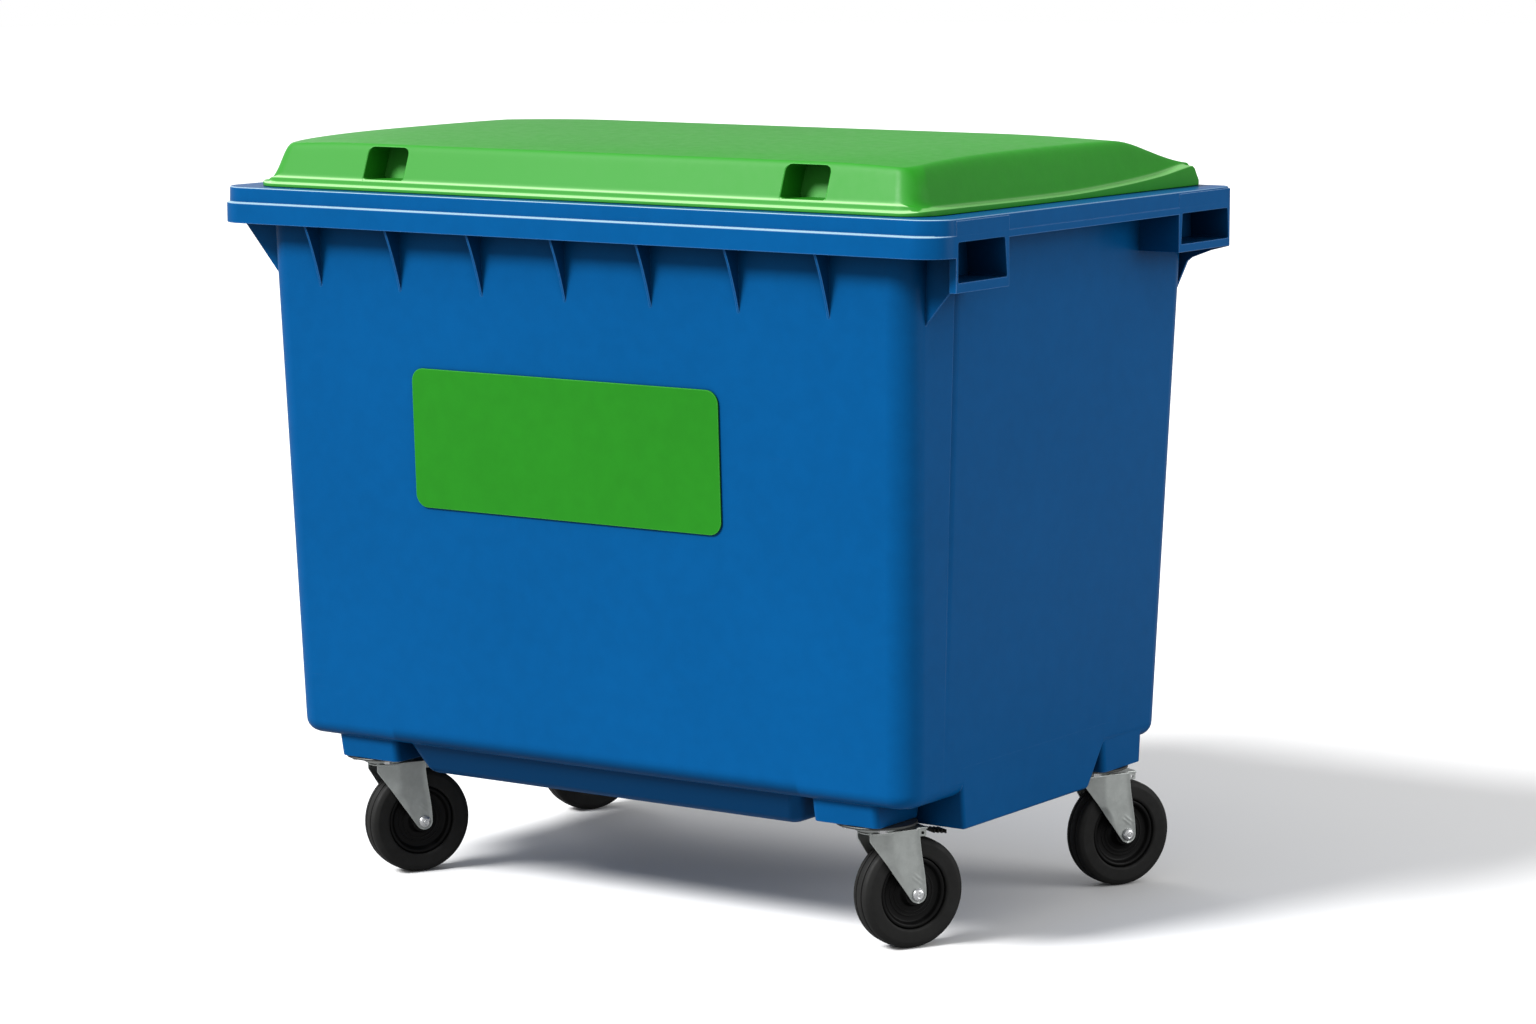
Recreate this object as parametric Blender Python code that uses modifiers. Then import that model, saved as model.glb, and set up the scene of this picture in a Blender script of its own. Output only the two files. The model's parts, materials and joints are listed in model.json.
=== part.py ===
"""Four-wheeled wheelie bin with a hinged lid, built as separate named pieces.

Frame: origin on the floor under the middle of the bin, +X along the length,
-Y towards the front, +Z up. Lengths are in metres.
"""
import math

import bmesh
import bpy
from mathutils import Matrix, Vector

# ---- driving dimensions -------------------------------------------------
GAP = 0.0003                # clearance between pieces that touch
WALL = 0.005                # moulded wall of the hopper
RIM_HALF = 0.630            # half length over the rim
RIM_FRONT = -0.4315
RIM_BACK = 0.3885
RIM_TOP = 1.041
RIM_STEP = 1.018            # foot of the narrower upper band
BAND_LOW = 0.988            # lower edge of the front band
BAND_SIDE = 1.008           # lower edge of the side and rear band
BODY_LOW_Z = 0.2205         # crease where the walls turn in under the body
CORNER = 0.040              # radius of the upright corners
BELLY_LOW = 0.172
RIB_COUNT = 7
RIB_FIRST = -0.460
RIB_PITCH = 0.1485
LID_HALF = 0.585
LID_FRONT = -0.3995
LID_BACK = 0.3765
LID_TOP = 1.120
LID_FRONT_TOP = 1.1075      # top edge of the front slope
GRIPS = {-1: -0.345, 1: 0.385}
LID_WALL = 0.004
LID_CREST_Y = 0.1785        # where the flat top starts to fall to the rear
HINGE_Y = 0.4185
HINGE_Z = 1.040
HINGE_R = 0.013
HINGE_X = 0.360
WHEEL_R = 0.080
TYRE_W = 0.040
TRAIL = 0.051
SHIFT = TRAIL - 0.040        # the fork's lean behind the kingpin
STEER = math.radians(62.0)  # heading of the trailing side, from +X
AXLE_Z = WHEEL_R
FRONT_CASTER = (0.440, -0.2835)
REAR_CASTER = (0.490, 0.2235)
PLATE_Z = 0.1826
PLATE_T = 0.004
SIDES = 24                  # flats round a tyre

BLUE = (0.010, 0.115, 0.355)
GREEN = (0.125, 0.475, 0.095)

scene = bpy.context.scene
for old in list(bpy.data.objects):
    bpy.data.objects.remove(old, do_unlink=True)
parts = bpy.data.collections.new("wheelie_bin")
cutters = bpy.data.collections.new("cutters")
scene.collection.children.link(parts)
scene.collection.children.link(cutters)


# ---- helpers ------------------------------------------------------------
def material(name, colour, rough, metal=0.0):
    mat = bpy.data.materials.new(name)
    mat.use_nodes = True
    bsdf = mat.node_tree.nodes["Principled BSDF"]
    bsdf.inputs["Base Color"].default_value = (*colour, 1.0)
    bsdf.inputs["Roughness"].default_value = rough
    bsdf.inputs["Metallic"].default_value = metal
    return mat


def obj_from(bm, name, mat=None, smooth=None):
    mesh = bpy.data.meshes.new(name)
    bmesh.ops.recalc_face_normals(bm, faces=bm.faces)
    bm.to_mesh(mesh)
    bm.free()
    ob = bpy.data.objects.new(name, mesh)
    if mat:
        parts.objects.link(ob)
        mesh.materials.append(mat)
    else:
        cutters.objects.link(ob)
        ob.hide_render = True
        ob.display_type = "WIRE"
    if smooth:
        mesh.shade_smooth()
        mesh.set_sharp_from_angle(angle=math.radians(smooth))
    return ob


def bevel_some(bm, pick, width, segments):
    edges = [e for e in bm.edges if pick(e)]
    bmesh.ops.bevel(bm, geom=edges, offset=width, offset_type="OFFSET",
                    segments=segments, profile=0.5, affect="EDGES")


def upright(e):
    a, b = (v.co for v in e.verts)
    return abs(a.z - b.z) > 0.6 * (a - b).length


def at_z(z):
    return lambda e: all(abs(v.co.z - z) < 1e-5 for v in e.verts)


def frustum(name, low, high, z0, z1, r=0.0, seg=4, foot=0.0, foot_seg=2, mat=None,
            back=None):
    """Box with its own outline (x0, x1, y0, y1) at each end and rounded uprights.

    back gives the uprights on the +Y side a radius of their own.
    """
    bm = bmesh.new()
    bmesh.ops.create_cube(bm, size=1.0)
    for v in bm.verts:
        x0, x1, y0, y1 = low if v.co.z < 0 else high
        v.co = Vector((x0 if v.co.x < 0 else x1, y0 if v.co.y < 0 else y1,
                       z0 if v.co.z < 0 else z1))
    if back:
        bevel_some(bm, lambda e: upright(e) and e.verts[0].co.y > 0, back, 2)
        bevel_some(bm, lambda e: upright(e) and e.verts[0].co.y < 0, r, seg)
    elif r:
        bevel_some(bm, upright, r, seg)
    if foot:
        bevel_some(bm, at_z(z0), foot, foot_seg)
    return obj_from(bm, name, mat)


def box(name, x0, x1, y0, y1, z0, z1, r=0.0, seg=4, mat=None):
    return frustum(name, (x0, x1, y0, y1), (x0, x1, y0, y1), z0, z1, r, seg, mat=mat)


def prism(name, points, depth, frame, mat=None):
    """Flat outline pushed through a depth either side of its plane."""
    bm = bmesh.new()
    verts = [bm.verts.new((u, v, -depth / 2)) for u, v in points]
    face = bm.faces.new(verts)
    out = bmesh.ops.extrude_face_region(bm, geom=[face])
    moved = [g for g in out["geom"] if isinstance(g, bmesh.types.BMVert)]
    bmesh.ops.translate(bm, verts=moved, vec=(0, 0, depth))
    bmesh.ops.transform(bm, verts=bm.verts, matrix=frame)
    return obj_from(bm, name, mat)


def axes(origin, u, v):
    """Matrix with its first two axes along u and v."""
    u = Vector(u).normalized()
    v = Vector(v).normalized()
    w = u.cross(v)
    m = Matrix((u, v, w)).transposed().to_4x4()
    m.translation = origin
    return m


def cylinder(name, r, z0, z1, frame, seg=16, phase=0.0, mat=None, smooth=None):
    bm = bmesh.new()
    bmesh.ops.create_cone(bm, cap_ends=True, segments=seg, radius1=r, radius2=r,
                          depth=z1 - z0,
                          matrix=Matrix.Translation((0, 0, (z0 + z1) / 2))
                          @ Matrix.Rotation(phase, 4, "Z"))
    bmesh.ops.transform(bm, verts=bm.verts, matrix=frame)
    return obj_from(bm, name, mat, smooth)


def apply_mods(ob):
    graph = bpy.context.evaluated_depsgraph_get()
    mesh = bpy.data.meshes.new_from_object(ob.evaluated_get(graph))
    ob.modifiers.clear()
    ob.data = mesh


def join(ob, others, operation="UNION"):
    """Boolean the listed solids into ob, one after another."""
    for other in others:
        mod = ob.modifiers.new(operation.lower(), "BOOLEAN")
        mod.operation = operation
        mod.solver = "EXACT"
        mod.object = other
        bpy.context.view_layer.update()
        apply_mods(ob)
        bpy.data.objects.remove(other, do_unlink=True)
    return ob


def cut(ob, others):
    return join(ob, others, "DIFFERENCE")


def tidy(ob, angle=30):
    bm = bmesh.new()
    bm.from_mesh(ob.data)
    bmesh.ops.remove_doubles(bm, verts=bm.verts, dist=2e-5)
    bmesh.ops.dissolve_degenerate(bm, dist=1e-5, edges=bm.edges)
    bmesh.ops.recalc_face_normals(bm, faces=bm.faces)
    bm.to_mesh(ob.data)
    bm.free()
    ob.data.shade_smooth()
    ob.data.set_sharp_from_angle(angle=math.radians(angle))
    return ob


def turned(name, profile, frame, mat, steps=24, phase=0.0):
    """Closed ring turned round the frame's Z from (radius, height) points."""
    mesh = bpy.data.meshes.new(name)
    bm = bmesh.new()
    verts = [bm.verts.new((r, 0, z)) for r, z in profile]
    count = len(verts)
    for i in range(count):
        bm.edges.new((verts[i], verts[(i + 1) % count]))
    bm.to_mesh(mesh)
    bm.free()
    ob = bpy.data.objects.new(name, mesh)
    parts.objects.link(ob)
    mod = ob.modifiers.new("turn", "SCREW")
    mod.steps = steps
    mod.render_steps = steps
    mod.use_merge_vertices = True
    mod.merge_threshold = 0.00001
    bpy.context.view_layer.update()
    apply_mods(ob)
    bm = bmesh.new()
    bm.from_mesh(ob.data)
    bmesh.ops.remove_doubles(bm, verts=bm.verts, dist=1e-5)
    bmesh.ops.rotate(bm, verts=bm.verts, matrix=Matrix.Rotation(phase, 3, "Z"))
    bmesh.ops.recalc_face_normals(bm, faces=bm.faces)
    bm.to_mesh(ob.data)
    bm.free()
    ob.data.materials.clear()
    ob.data.materials.append(mat)
    ob.data.shade_smooth()
    ob.data.set_sharp_from_angle(angle=math.radians(35))
    ob.matrix_world = frame
    return ob


def wall(z, inset=0.0):
    """Outline of the tapered body at height z, moved in by inset."""
    up = z - 0.26
    hx = 0.546 + 0.0243 * up - inset
    return (-hx, hx, -0.3645 - 0.0426 * up + inset, 0.3440 + 0.0545 * up - inset)


def front_y(z):
    return wall(z)[2]


# ---- materials ----------------------------------------------------------
m_blue = material("blue_polyethylene", BLUE, 0.42)
m_green = material("green_polyethylene", GREEN, 0.42)
m_zinc = material("zinc_plated_steel", (0.25, 0.27, 0.255), 0.42, 0.85)
m_steel = material("bright_steel", (0.45, 0.46, 0.47), 0.35, 0.9)
m_tyre = material("black_rubber", (0.014, 0.014, 0.013), 0.72)
m_hub = material("black_nylon", (0.008, 0.008, 0.008), 0.5)


# ---- hopper -------------------------------------------------------------
def rim():
    """Inverted tray round the mouth: a deep lower band under a narrower upper one."""
    lower = (-RIM_HALF, RIM_HALF, RIM_FRONT, RIM_BACK)
    upper = (-0.627, 0.627, RIM_FRONT + 0.006, RIM_BACK - 0.002)
    top = (-0.6265, 0.6265, RIM_FRONT + 0.0065, RIM_BACK - 0.0025)
    ring = frustum("rim", lower, lower, BAND_LOW, RIM_STEP, 0.048, 5, back=0.014)
    join(ring, [frustum("a", upper, top, RIM_STEP - 0.004, RIM_TOP, 0.046, 5, back=0.013)])
    under = (-0.625, 0.625, RIM_FRONT + WALL, RIM_BACK - WALL)
    inner = (-0.622, 0.622, RIM_FRONT + 0.011, RIM_BACK - 0.007)
    cut(ring, [frustum("b", under, under, 0.95, RIM_STEP - WALL, 0.043, 5, back=0.009),
               frustum("c", inner, inner, 0.96, RIM_TOP - WALL, 0.041, 5, back=0.008),
               box("d", -0.7, 0.7, RIM_FRONT + 0.0615, 0.5, 0.95, BAND_SIDE)])
    return ring


def rib(x):
    y0 = RIM_FRONT + WALL - 0.001
    pts = [(y0, RIM_TOP - 0.003), (y0, BAND_LOW + 0.001), (-0.4085, 0.938),
           (front_y(0.900) - 0.0005, 0.900), (front_y(0.9) + 0.004, 0.900),
           (front_y(1.0) + 0.004, RIM_TOP - 0.003)]
    return prism("rib", pts, 0.004, axes((x, 0, 0), (0, 1, 0), (0, 0, 1)))


def pocket(side, front):
    """Hand-hold block under the rim's end, with its web down to the body corner."""
    x0, x1 = 0.553, RIM_HALF
    if front:
        z0, web_y = 0.941, -0.350
        plan = [(x0, -0.3515), (0.601, -0.3515), (0.6185, -0.3845), (x1, -0.3845),
                (x1, -0.2475), (x0, -0.2475)]
        web = [(0.552, 0.884), (0.5565, 0.886), (0.605, 0.9445), (0.610, 0.985),
               (0.610, 1.03), (0.552, 1.03)]
    else:
        z0, web_y = 0.953, 0.380
        plan = [(x0, 0.2275), (x1, 0.2275), (x1, 0.3825), (x0, 0.3825)]
        web = [(0.535, 0.884), (0.5425, 0.886), (0.5615, 0.9275), (0.569, 0.9335),
               (0.600, 0.9455), (0.6295, 0.953), (0.6295, 1.03), (0.535, 1.03)]
    height = RIM_TOP - 0.003 - z0
    solid = prism("pocket", [(side * u, v) for u, v in plan], height,
                  Matrix.Translation((0, 0, z0 + height / 2)))
    flat = [(side * u, v) for u, v in web]
    join(solid, [prism("web", flat, 0.005, axes((0, web_y, 0), (1, 0, 0), (0, 0, 1)))])
    return solid


def gusset(side):
    """Plain triangle under the rim's end, where there is no hand hold."""
    web = [(0.552, 0.905), (0.559, 0.907), (0.625, 0.981), (0.627, 0.990), (0.627, 1.03),
           (0.552, 1.03)]
    flat = [(side * u, v) for u, v in web]
    return prism("gusset", flat, 0.005, axes((0, -0.362, 0), (1, 0, 0), (0, 0, 1)))


def pocket_hole(side, front):
    """Opening from the outside; the front one is wider at its mouth."""
    z1 = BAND_SIDE + 0.001
    deep = sorted((side * 0.5675, side * 0.66))
    if not front:
        return [box("hole", *deep, 0.2345, 0.3775, 0.967, z1)]
    mouth = sorted((side * 0.6200, side * 0.66))
    return [box("hole", *deep, -0.3465, -0.2565, 0.961, z1),
            box("mouth", *mouth, -0.3795, -0.2570, 0.9613, z1 + 0.0003)]


def ear(x):
    """Upright hinge lug behind the rim."""
    block = box("ear", x - 0.004, x + 0.004, RIM_BACK - 0.004, HINGE_Y,
                HINGE_Z - HINGE_R, HINGE_Z)
    frame = axes((x, HINGE_Y, HINGE_Z), (0, 1, 0), (0, 0, 1))
    return join(block, [cylinder("e", HINGE_R, -0.004, 0.004, frame, 16)])


def caster_points(spot):
    return [(spot[0] + i * 0.030, spot[1] + j * 0.030) for i in (-1, 1) for j in (-1, 1)]


CASTERS = {
    "front_left": (-FRONT_CASTER[0], FRONT_CASTER[1]),
    "front_right": FRONT_CASTER,
    "rear_left": (-REAR_CASTER[0], REAR_CASTER[1]),
    "rear_right": REAR_CASTER,
}


def hopper():
    shell = frustum("hopper", wall(BODY_LOW_Z), wall(RIM_TOP - 0.002), BODY_LOW_Z,
                    RIM_TOP - 0.002, CORNER, 6, 0.022, 3, mat=m_blue)
    deep_low = (-0.5445, 0.5445, -0.2180, 0.1285)
    deep_high = (-0.5461, 0.5461, -0.2300, 0.1915)
    wide_low = (-0.332, 0.332, -0.3170, 0.110)
    wide_high = (-0.356, 0.356, -0.3555, 0.120)
    add = [frustum("deep", deep_low, deep_high, BELLY_LOW, 0.262, 0.0, 1, 0.022, 3),
           frustum("wide", wide_low, wide_high, 0.1724, 0.240, 0.017, 2, 0.013, 3)]
    for side in (-1, 1):
        fx = sorted((side * 0.370, side * 0.479))
        rx = sorted((side * 0.436, side * 0.5443))
        add.append(frustum("boss", (*fx, -0.3390, -0.2320), (*fx, -0.3520, -0.2150),
                           0.1870, 0.250, 0.012, 2))
        add.append(frustum("boss", (*rx, 0.1730, 0.2850), (*rx, 0.165, 0.290),
                           0.1870, 0.250, 0.012, 2))
        add.append(pocket(side, False))
    add += [pocket(1, True), gusset(-1)]
    add.append(rim())
    add += [rib(RIB_FIRST + RIB_PITCH * k) for k in range(RIB_COUNT)]
    for x in (-HINGE_X, HINGE_X):
        add += [ear(x - 0.0265), ear(x + 0.0265)]
    join(shell, add)
    deck = RIM_TOP - 0.009
    inner = frustum("inner", wall(BODY_LOW_Z + WALL, WALL), wall(deck, WALL),
                    BODY_LOW_Z + WALL, deck, CORNER - WALL, 6, 0.018, 3)
    mouth = box("mouth", -0.5595, 0.5595, -0.3920, 0.3560, deck - 0.004, 1.08, 0.036, 6)
    low = (-0.5395, 0.5395, -0.2130, 0.1235)
    high = (-0.5412, 0.5412, -0.2250, 0.1865)
    wlow = (-0.326, 0.326, -0.3105, 0.050)
    whigh = (-0.349, 0.349, -0.3480, 0.055)
    holes = [inner, mouth,
             frustum("in2", low, high, BELLY_LOW + WALL, 0.262, 0.0, 1, 0.018, 3),
             frustum("in3", wlow, whigh, 0.1775, 0.236, 0.012, 2, 0.008, 3)]
    holes += pocket_hole(1, True) + pocket_hole(1, False) + pocket_hole(-1, False)
    for spot in CASTERS.values():
        for x, y in caster_points(spot):
            holes.append(cylinder("h", 0.0043, 0.15, 0.2075, Matrix.Translation((x, y, 0)), 10))
    for x in (-HINGE_X, HINGE_X):
        frame = axes((x, HINGE_Y, HINGE_Z), (0, 1, 0), (0, 0, 1))
        holes.append(cylinder("h", 0.0043, -0.05, 0.05, frame, 12))
    holes.append(cylinder("h", 0.0163, 0.16, 0.19, Matrix.Translation((0, -0.05, 0)), 20))
    cut(shell, holes)
    return tidy(shell)


# ---- lid ----------------------------------------------------------------
def dome(name, inset, z0, top):
    """Low dome: rising a little to the crest line, then falling to the rear edge."""
    low = (-0.568 + inset, 0.568 - inset, LID_FRONT + 0.011 + inset, LID_BACK - 0.0100 - inset)
    high = (-0.550 + inset, 0.550 - inset, LID_FRONT + 0.030 + inset, LID_BACK - 0.0155 - inset)
    ob = frustum(name, low, high, z0, top, 0.040 - inset, 5)
    fall = top - 0.046
    dip = top - LID_TOP + LID_FRONT_TOP
    brow = [(-0.50, dip - 0.0035), (-0.3725, dip), (0.08, top), (0.08, top + 0.05),
            (-0.50, top + 0.05)]
    cut(ob, [prism("brow", brow, 1.4, axes((0, 0, 0), (0, 1, 0), (0, 0, 1)))])
    pts = [(LID_CREST_Y, top), (LID_CREST_Y, top + 0.05), (0.42, top + 0.05),
           (0.42, fall - 0.0075), (0.36, fall)]
    return cut(ob, [prism("slope", pts, 1.4, axes((0, 0, 0), (0, 1, 0), (0, 0, 1)))])


def flange_web(side):
    """Side face that rises towards the rear beside the dome."""
    pts = [(-0.30, 1.046), (LID_BACK - 0.005, 1.046), (LID_BACK - 0.012, 1.080), (0.24, 1.069),
           (0.10, 1.060), (-0.10, 1.0545), (-0.30, 1.052)]
    return prism("web", pts, 0.034, axes((side * 0.565, 0, 0), (0, 1, 0), (0, 0, 1)))


def lid():
    z0 = RIM_TOP + GAP
    ob = box("lid", -LID_HALF, LID_HALF, LID_FRONT, LID_BACK, z0, z0 + 0.012, 0.045, 5,
             mat=m_green)
    join(ob, [dome("dome", 0.0, z0 + 0.006, LID_TOP), flange_web(-1), flange_web(1)])
    cut(ob, [dome("under", LID_WALL, z0 - 0.02, LID_TOP - LID_WALL)])
    for side in (-1, 1):
        x = GRIPS[side]
        join(ob, [box("grip", x - 0.0415, x + 0.0415, LID_FRONT + 0.013, LID_FRONT + 0.068,
                      z0 + 0.002, LID_FRONT_TOP - 0.001)])
        cut(ob, [box("grip", x - 0.0375, x + 0.0375, LID_FRONT - 0.01, LID_FRONT + 0.064,
                     z0 + 0.013, LID_FRONT_TOP - 0.006)])
        hx = side * HINGE_X
        arm = box("arm", hx - 0.022, hx + 0.022, LID_BACK - 0.020, HINGE_Y, z0, z0 + 0.008)
        frame = axes((hx, HINGE_Y, HINGE_Z), (0, 1, 0), (0, 0, 1))
        join(arm, [cylinder("k", HINGE_R, -0.022, 0.022, frame, 16)])
        join(ob, [arm])
        cut(ob, [cylinder("k", 0.0043, -0.05, 0.05, frame, 12)])
    tidy(ob)
    ob.data.transform(Matrix.Translation((0, -HINGE_Y, -HINGE_Z)))
    ob.location = (0, HINGE_Y, HINGE_Z)
    return ob


def hinge_pin(name, x):
    frame = axes((x, HINGE_Y, HINGE_Z), (0, 1, 0), (0, 0, 1))
    pin = cylinder(name, 0.004, -0.034, 0.0320, frame, 12, mat=m_steel, smooth=35)
    join(pin, [cylinder("head", 0.0075, 0.0315, 0.0345, frame, 12)])
    return tidy(pin)


# ---- casters ------------------------------------------------------------
def top_plate(name, spot):
    x, y = spot
    ob = cylinder(name, 0.058, PLATE_Z, PLATE_Z + PLATE_T, Matrix.Translation((x, y, 0)),
                  28, mat=m_zinc)
    holes = [cylinder("h", 0.0068, 0.17, 0.20, Matrix.Translation((x, y, 0)), 16)]
    for u, v in caster_points(spot):
        holes.append(cylinder("h", 0.0043, 0.17, 0.20, Matrix.Translation((u, v, 0)), 10))
    cut(ob, holes)
    return tidy(ob)


def mount_bolt(name, x, y):
    frame = Matrix.Translation((x, y, 0))
    ob = cylinder(name, 0.0040, PLATE_Z - 0.003, 0.2060, frame, 10, mat=m_steel)
    join(ob, [cylinder("head", 0.0065, PLATE_Z - 0.0055, PLATE_Z - GAP, frame, 6)])
    return tidy(ob)


def fork(name, lead):
    """Crown with two tapering legs. In lead, X is the trailing side and Y the axle."""
    back = Matrix.Translation((SHIFT, 0, 0))
    ob = box(name, SHIFT - 0.0305, SHIFT + 0.0415, -0.0291, 0.0291, 0.1700, 0.1735,
             mat=m_zinc)
    ob.data.transform(lead)
    pts = [(-0.031, 0.1730), (-0.031, 0.160), (0.0290, 0.0735)]
    for k in range(1, 6):
        a = math.radians(212 + k * 24.6)
        pts.append((0.040 + 0.0125 * math.cos(a), AXLE_Z + 0.0125 * math.sin(a)))
    pts += [(0.0520, 0.085), (0.042, 0.1730)]
    tongue = box("t", 0.038, 0.060, -0.0215, 0.0215, 0.1703, 0.1732)
    tongue.data.transform(lead @ back)
    add = [tongue]
    for side in (-1, 1):
        leg = prism("leg", pts, 0.003, axes((0, side * 0.028, 0), (1, 0, 0), (0, 0, 1)))
        leg.data.transform(lead @ back)
        lug = box("lug", 0.0465, 0.0585, side * 0.0185 - 0.0015, side * 0.0185 + 0.0015,
                  0.1605, 0.1720)
        lug.data.transform(lead @ back)
        add += [leg, lug]
    join(ob, add)
    across = lead @ axes((TRAIL, 0, AXLE_Z), (0, 0, 1), (1, 0, 0))
    pivot = lead @ back @ axes((0.0525, 0, 0.1655), (0, 0, 1), (1, 0, 0))
    cut(ob, [cylinder("h", 0.0064, 0.16, 0.18, lead, 16),
             cylinder("h", 0.0064, -0.05, 0.05, across, 14),
             cylinder("h", 0.0024, -0.05, 0.05, pivot, 10)])
    return tidy(ob)


def brake_pedal(name, lead):
    """Foot lever with a cross pin that turns in the fork's two lugs."""
    pivot = axes((0.0525, 0, 0.1655), (0, 0, 1), (1, 0, 0))
    pts = [(0.050, 0.1625), (0.098, 0.1565), (0.1005, 0.1600), (0.098, 0.1635),
           (0.052, 0.1690)]
    ob = prism(name, pts, 0.030, axes((0, 0, 0), (1, 0, 0), (0, 0, 1)), mat=m_hub)
    join(ob, [cylinder("p", 0.0036, -0.0163, 0.0163, pivot, 12),
              cylinder("p", 0.0021, -0.0210, 0.0210, pivot, 10)])
    back = Matrix.Translation((SHIFT, 0, 0))
    ob.data.transform(lead @ back)
    tidy(ob)
    place = lead @ back @ Vector((0.0525, 0, 0.1655))
    ob.data.transform(Matrix.Translation(-place))
    ob.location = place
    return ob


def caster(corner, spot, brake):
    x, y = spot
    lead = Matrix.Translation((x, y, 0)) @ Matrix.Rotation(STEER, 4, "Z")
    here = Matrix.Translation((x, y, 0))
    top_plate("top_plate_" + corner, spot)
    for i, (u, v) in enumerate(caster_points(spot)):
        mount_bolt(f"mount_bolt_{corner}_{i + 1}", u, v)
    race = [(0.0085, 0.1738), (0.0300, 0.1738), (0.0340, 0.1768), (0.0340, 0.1796),
            (0.0310, 0.1823), (0.0085, 0.1823)]
    turned("ball_race_" + corner, race, here, m_zinc, 18)
    pin = cylinder("kingpin_" + corner, 0.0060, 0.1660, 0.1862, here, 14, mat=m_steel)
    join(pin, [cylinder("head", 0.0105, 0.1630, 0.1697, here, 14)])
    tidy(pin)
    swivel = bpy.data.objects.new("swivel_" + corner, None)
    parts.objects.link(swivel)
    swivel.location = (x, y, 0)
    spin = bpy.data.objects.new("spin_" + corner, None)
    parts.objects.link(spin)
    # local Z of this frame is the axle, local X points straight down
    axle = lead @ axes((TRAIL, 0, AXLE_Z), (0, 0, -1), (1, 0, 0))
    spin.matrix_world = axle
    fork("fork_" + corner, lead)
    bolt = cylinder("axle_bolt_" + corner, 0.0060, -0.0378, 0.0310, axle, 14, mat=m_steel)
    join(bolt, [cylinder("head", 0.0095, 0.0298, 0.0360, axle, 6)])
    tidy(bolt)
    nut = cylinder("axle_nut_" + corner, 0.0095, -0.0358, -0.0298, axle, 6, mat=m_steel)
    cut(nut, [cylinder("h", 0.0063, -0.05, 0.05, axle, 14)])
    tidy(nut)
    half = math.pi / SIDES
    out = WHEEL_R / math.cos(half)
    w = TYRE_W / 2
    bush = [(0.0064, -0.0262), (0.0090, -0.0262), (0.0090, 0.0262), (0.0064, 0.0262)]
    turned("bush_" + corner, bush, axle, m_steel, 16)
    centre = [(0.0094, -0.0235), (0.0180, -0.0235), (0.0200, -0.0120), (0.0420, -0.0080),
              (0.0460, -0.0150), (0.0520, -0.0150), (0.0520, 0.0150), (0.0460, 0.0150),
              (0.0420, 0.0080), (0.0200, 0.0120), (0.0180, 0.0235), (0.0094, 0.0235)]
    turned("wheel_centre_" + corner, centre, axle, m_hub, SIDES, half)
    k = out / WHEEL_R
    tread = [(0.0524 * k, -0.0180), (0.0560, -w), (out - 0.010, -w), (out - 0.0035, -0.0165),
             (out, -0.0110), (out, 0.0110), (out - 0.0035, 0.0165), (out - 0.010, w),
             (0.0560, w), (0.0524 * k, 0.0180)]
    turned("tyre_" + corner, tread, axle, m_tyre, SIDES, half)
    if brake:
        brake_pedal("brake_pedal_" + corner, lead)


# ---- assembly -----------------------------------------------------------
hopper()
lid()
hinge_pin("hinge_pin_left", -HINGE_X)
hinge_pin("hinge_pin_right", HINGE_X)


def front_panel():
    """Blank plate on the sloping front wall."""
    x0, x1, z0, z1 = -0.294, 0.246, 0.583, 0.788
    lean = math.atan(0.0426)
    face = front_y((z0 + z1) / 2) - GAP - 0.0015
    frame = axes(((x0 + x1) / 2, face, (z0 + z1) / 2), (1, 0, 0),
                 (0, -math.sin(lean), math.cos(lean)))
    hw = (x1 - x0) / 2
    hh = (z1 - z0) / 2
    r = 0.020
    pts = []
    for cx, cy, a0 in ((hw - r, hh - r, 0), (r - hw, hh - r, 90), (r - hw, r - hh, 180),
                       (hw - r, r - hh, 270)):
        for k in range(5):
            a = math.radians(a0 + k * 22.5)
            pts.append((cx + r * math.cos(a), cy + r * math.sin(a)))
    return tidy(prism("front_panel", pts, 0.003, frame, mat=m_green))


def drain_plug():
    """Threaded plug in the floor: flange under the floor, stem in the hole."""
    here = Matrix.Translation((0, -0.05, 0))
    ob = cylinder("drain_plug", 0.0160, 0.168, 0.1760, here, 20, mat=m_hub, smooth=35)
    join(ob, [cylinder("f", 0.0240, 0.1657, BELLY_LOW - GAP, here, 20),
              cylinder("g", 0.0110, 0.1600, 0.1670, here, 6)])
    return tidy(ob)


front_panel()
drain_plug()
for corner_name, where in CASTERS.items():
    caster(corner_name, where, corner_name.startswith("front"))
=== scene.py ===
import json
import math

import bmesh
import bpy
from mathutils import Matrix, Vector

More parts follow.
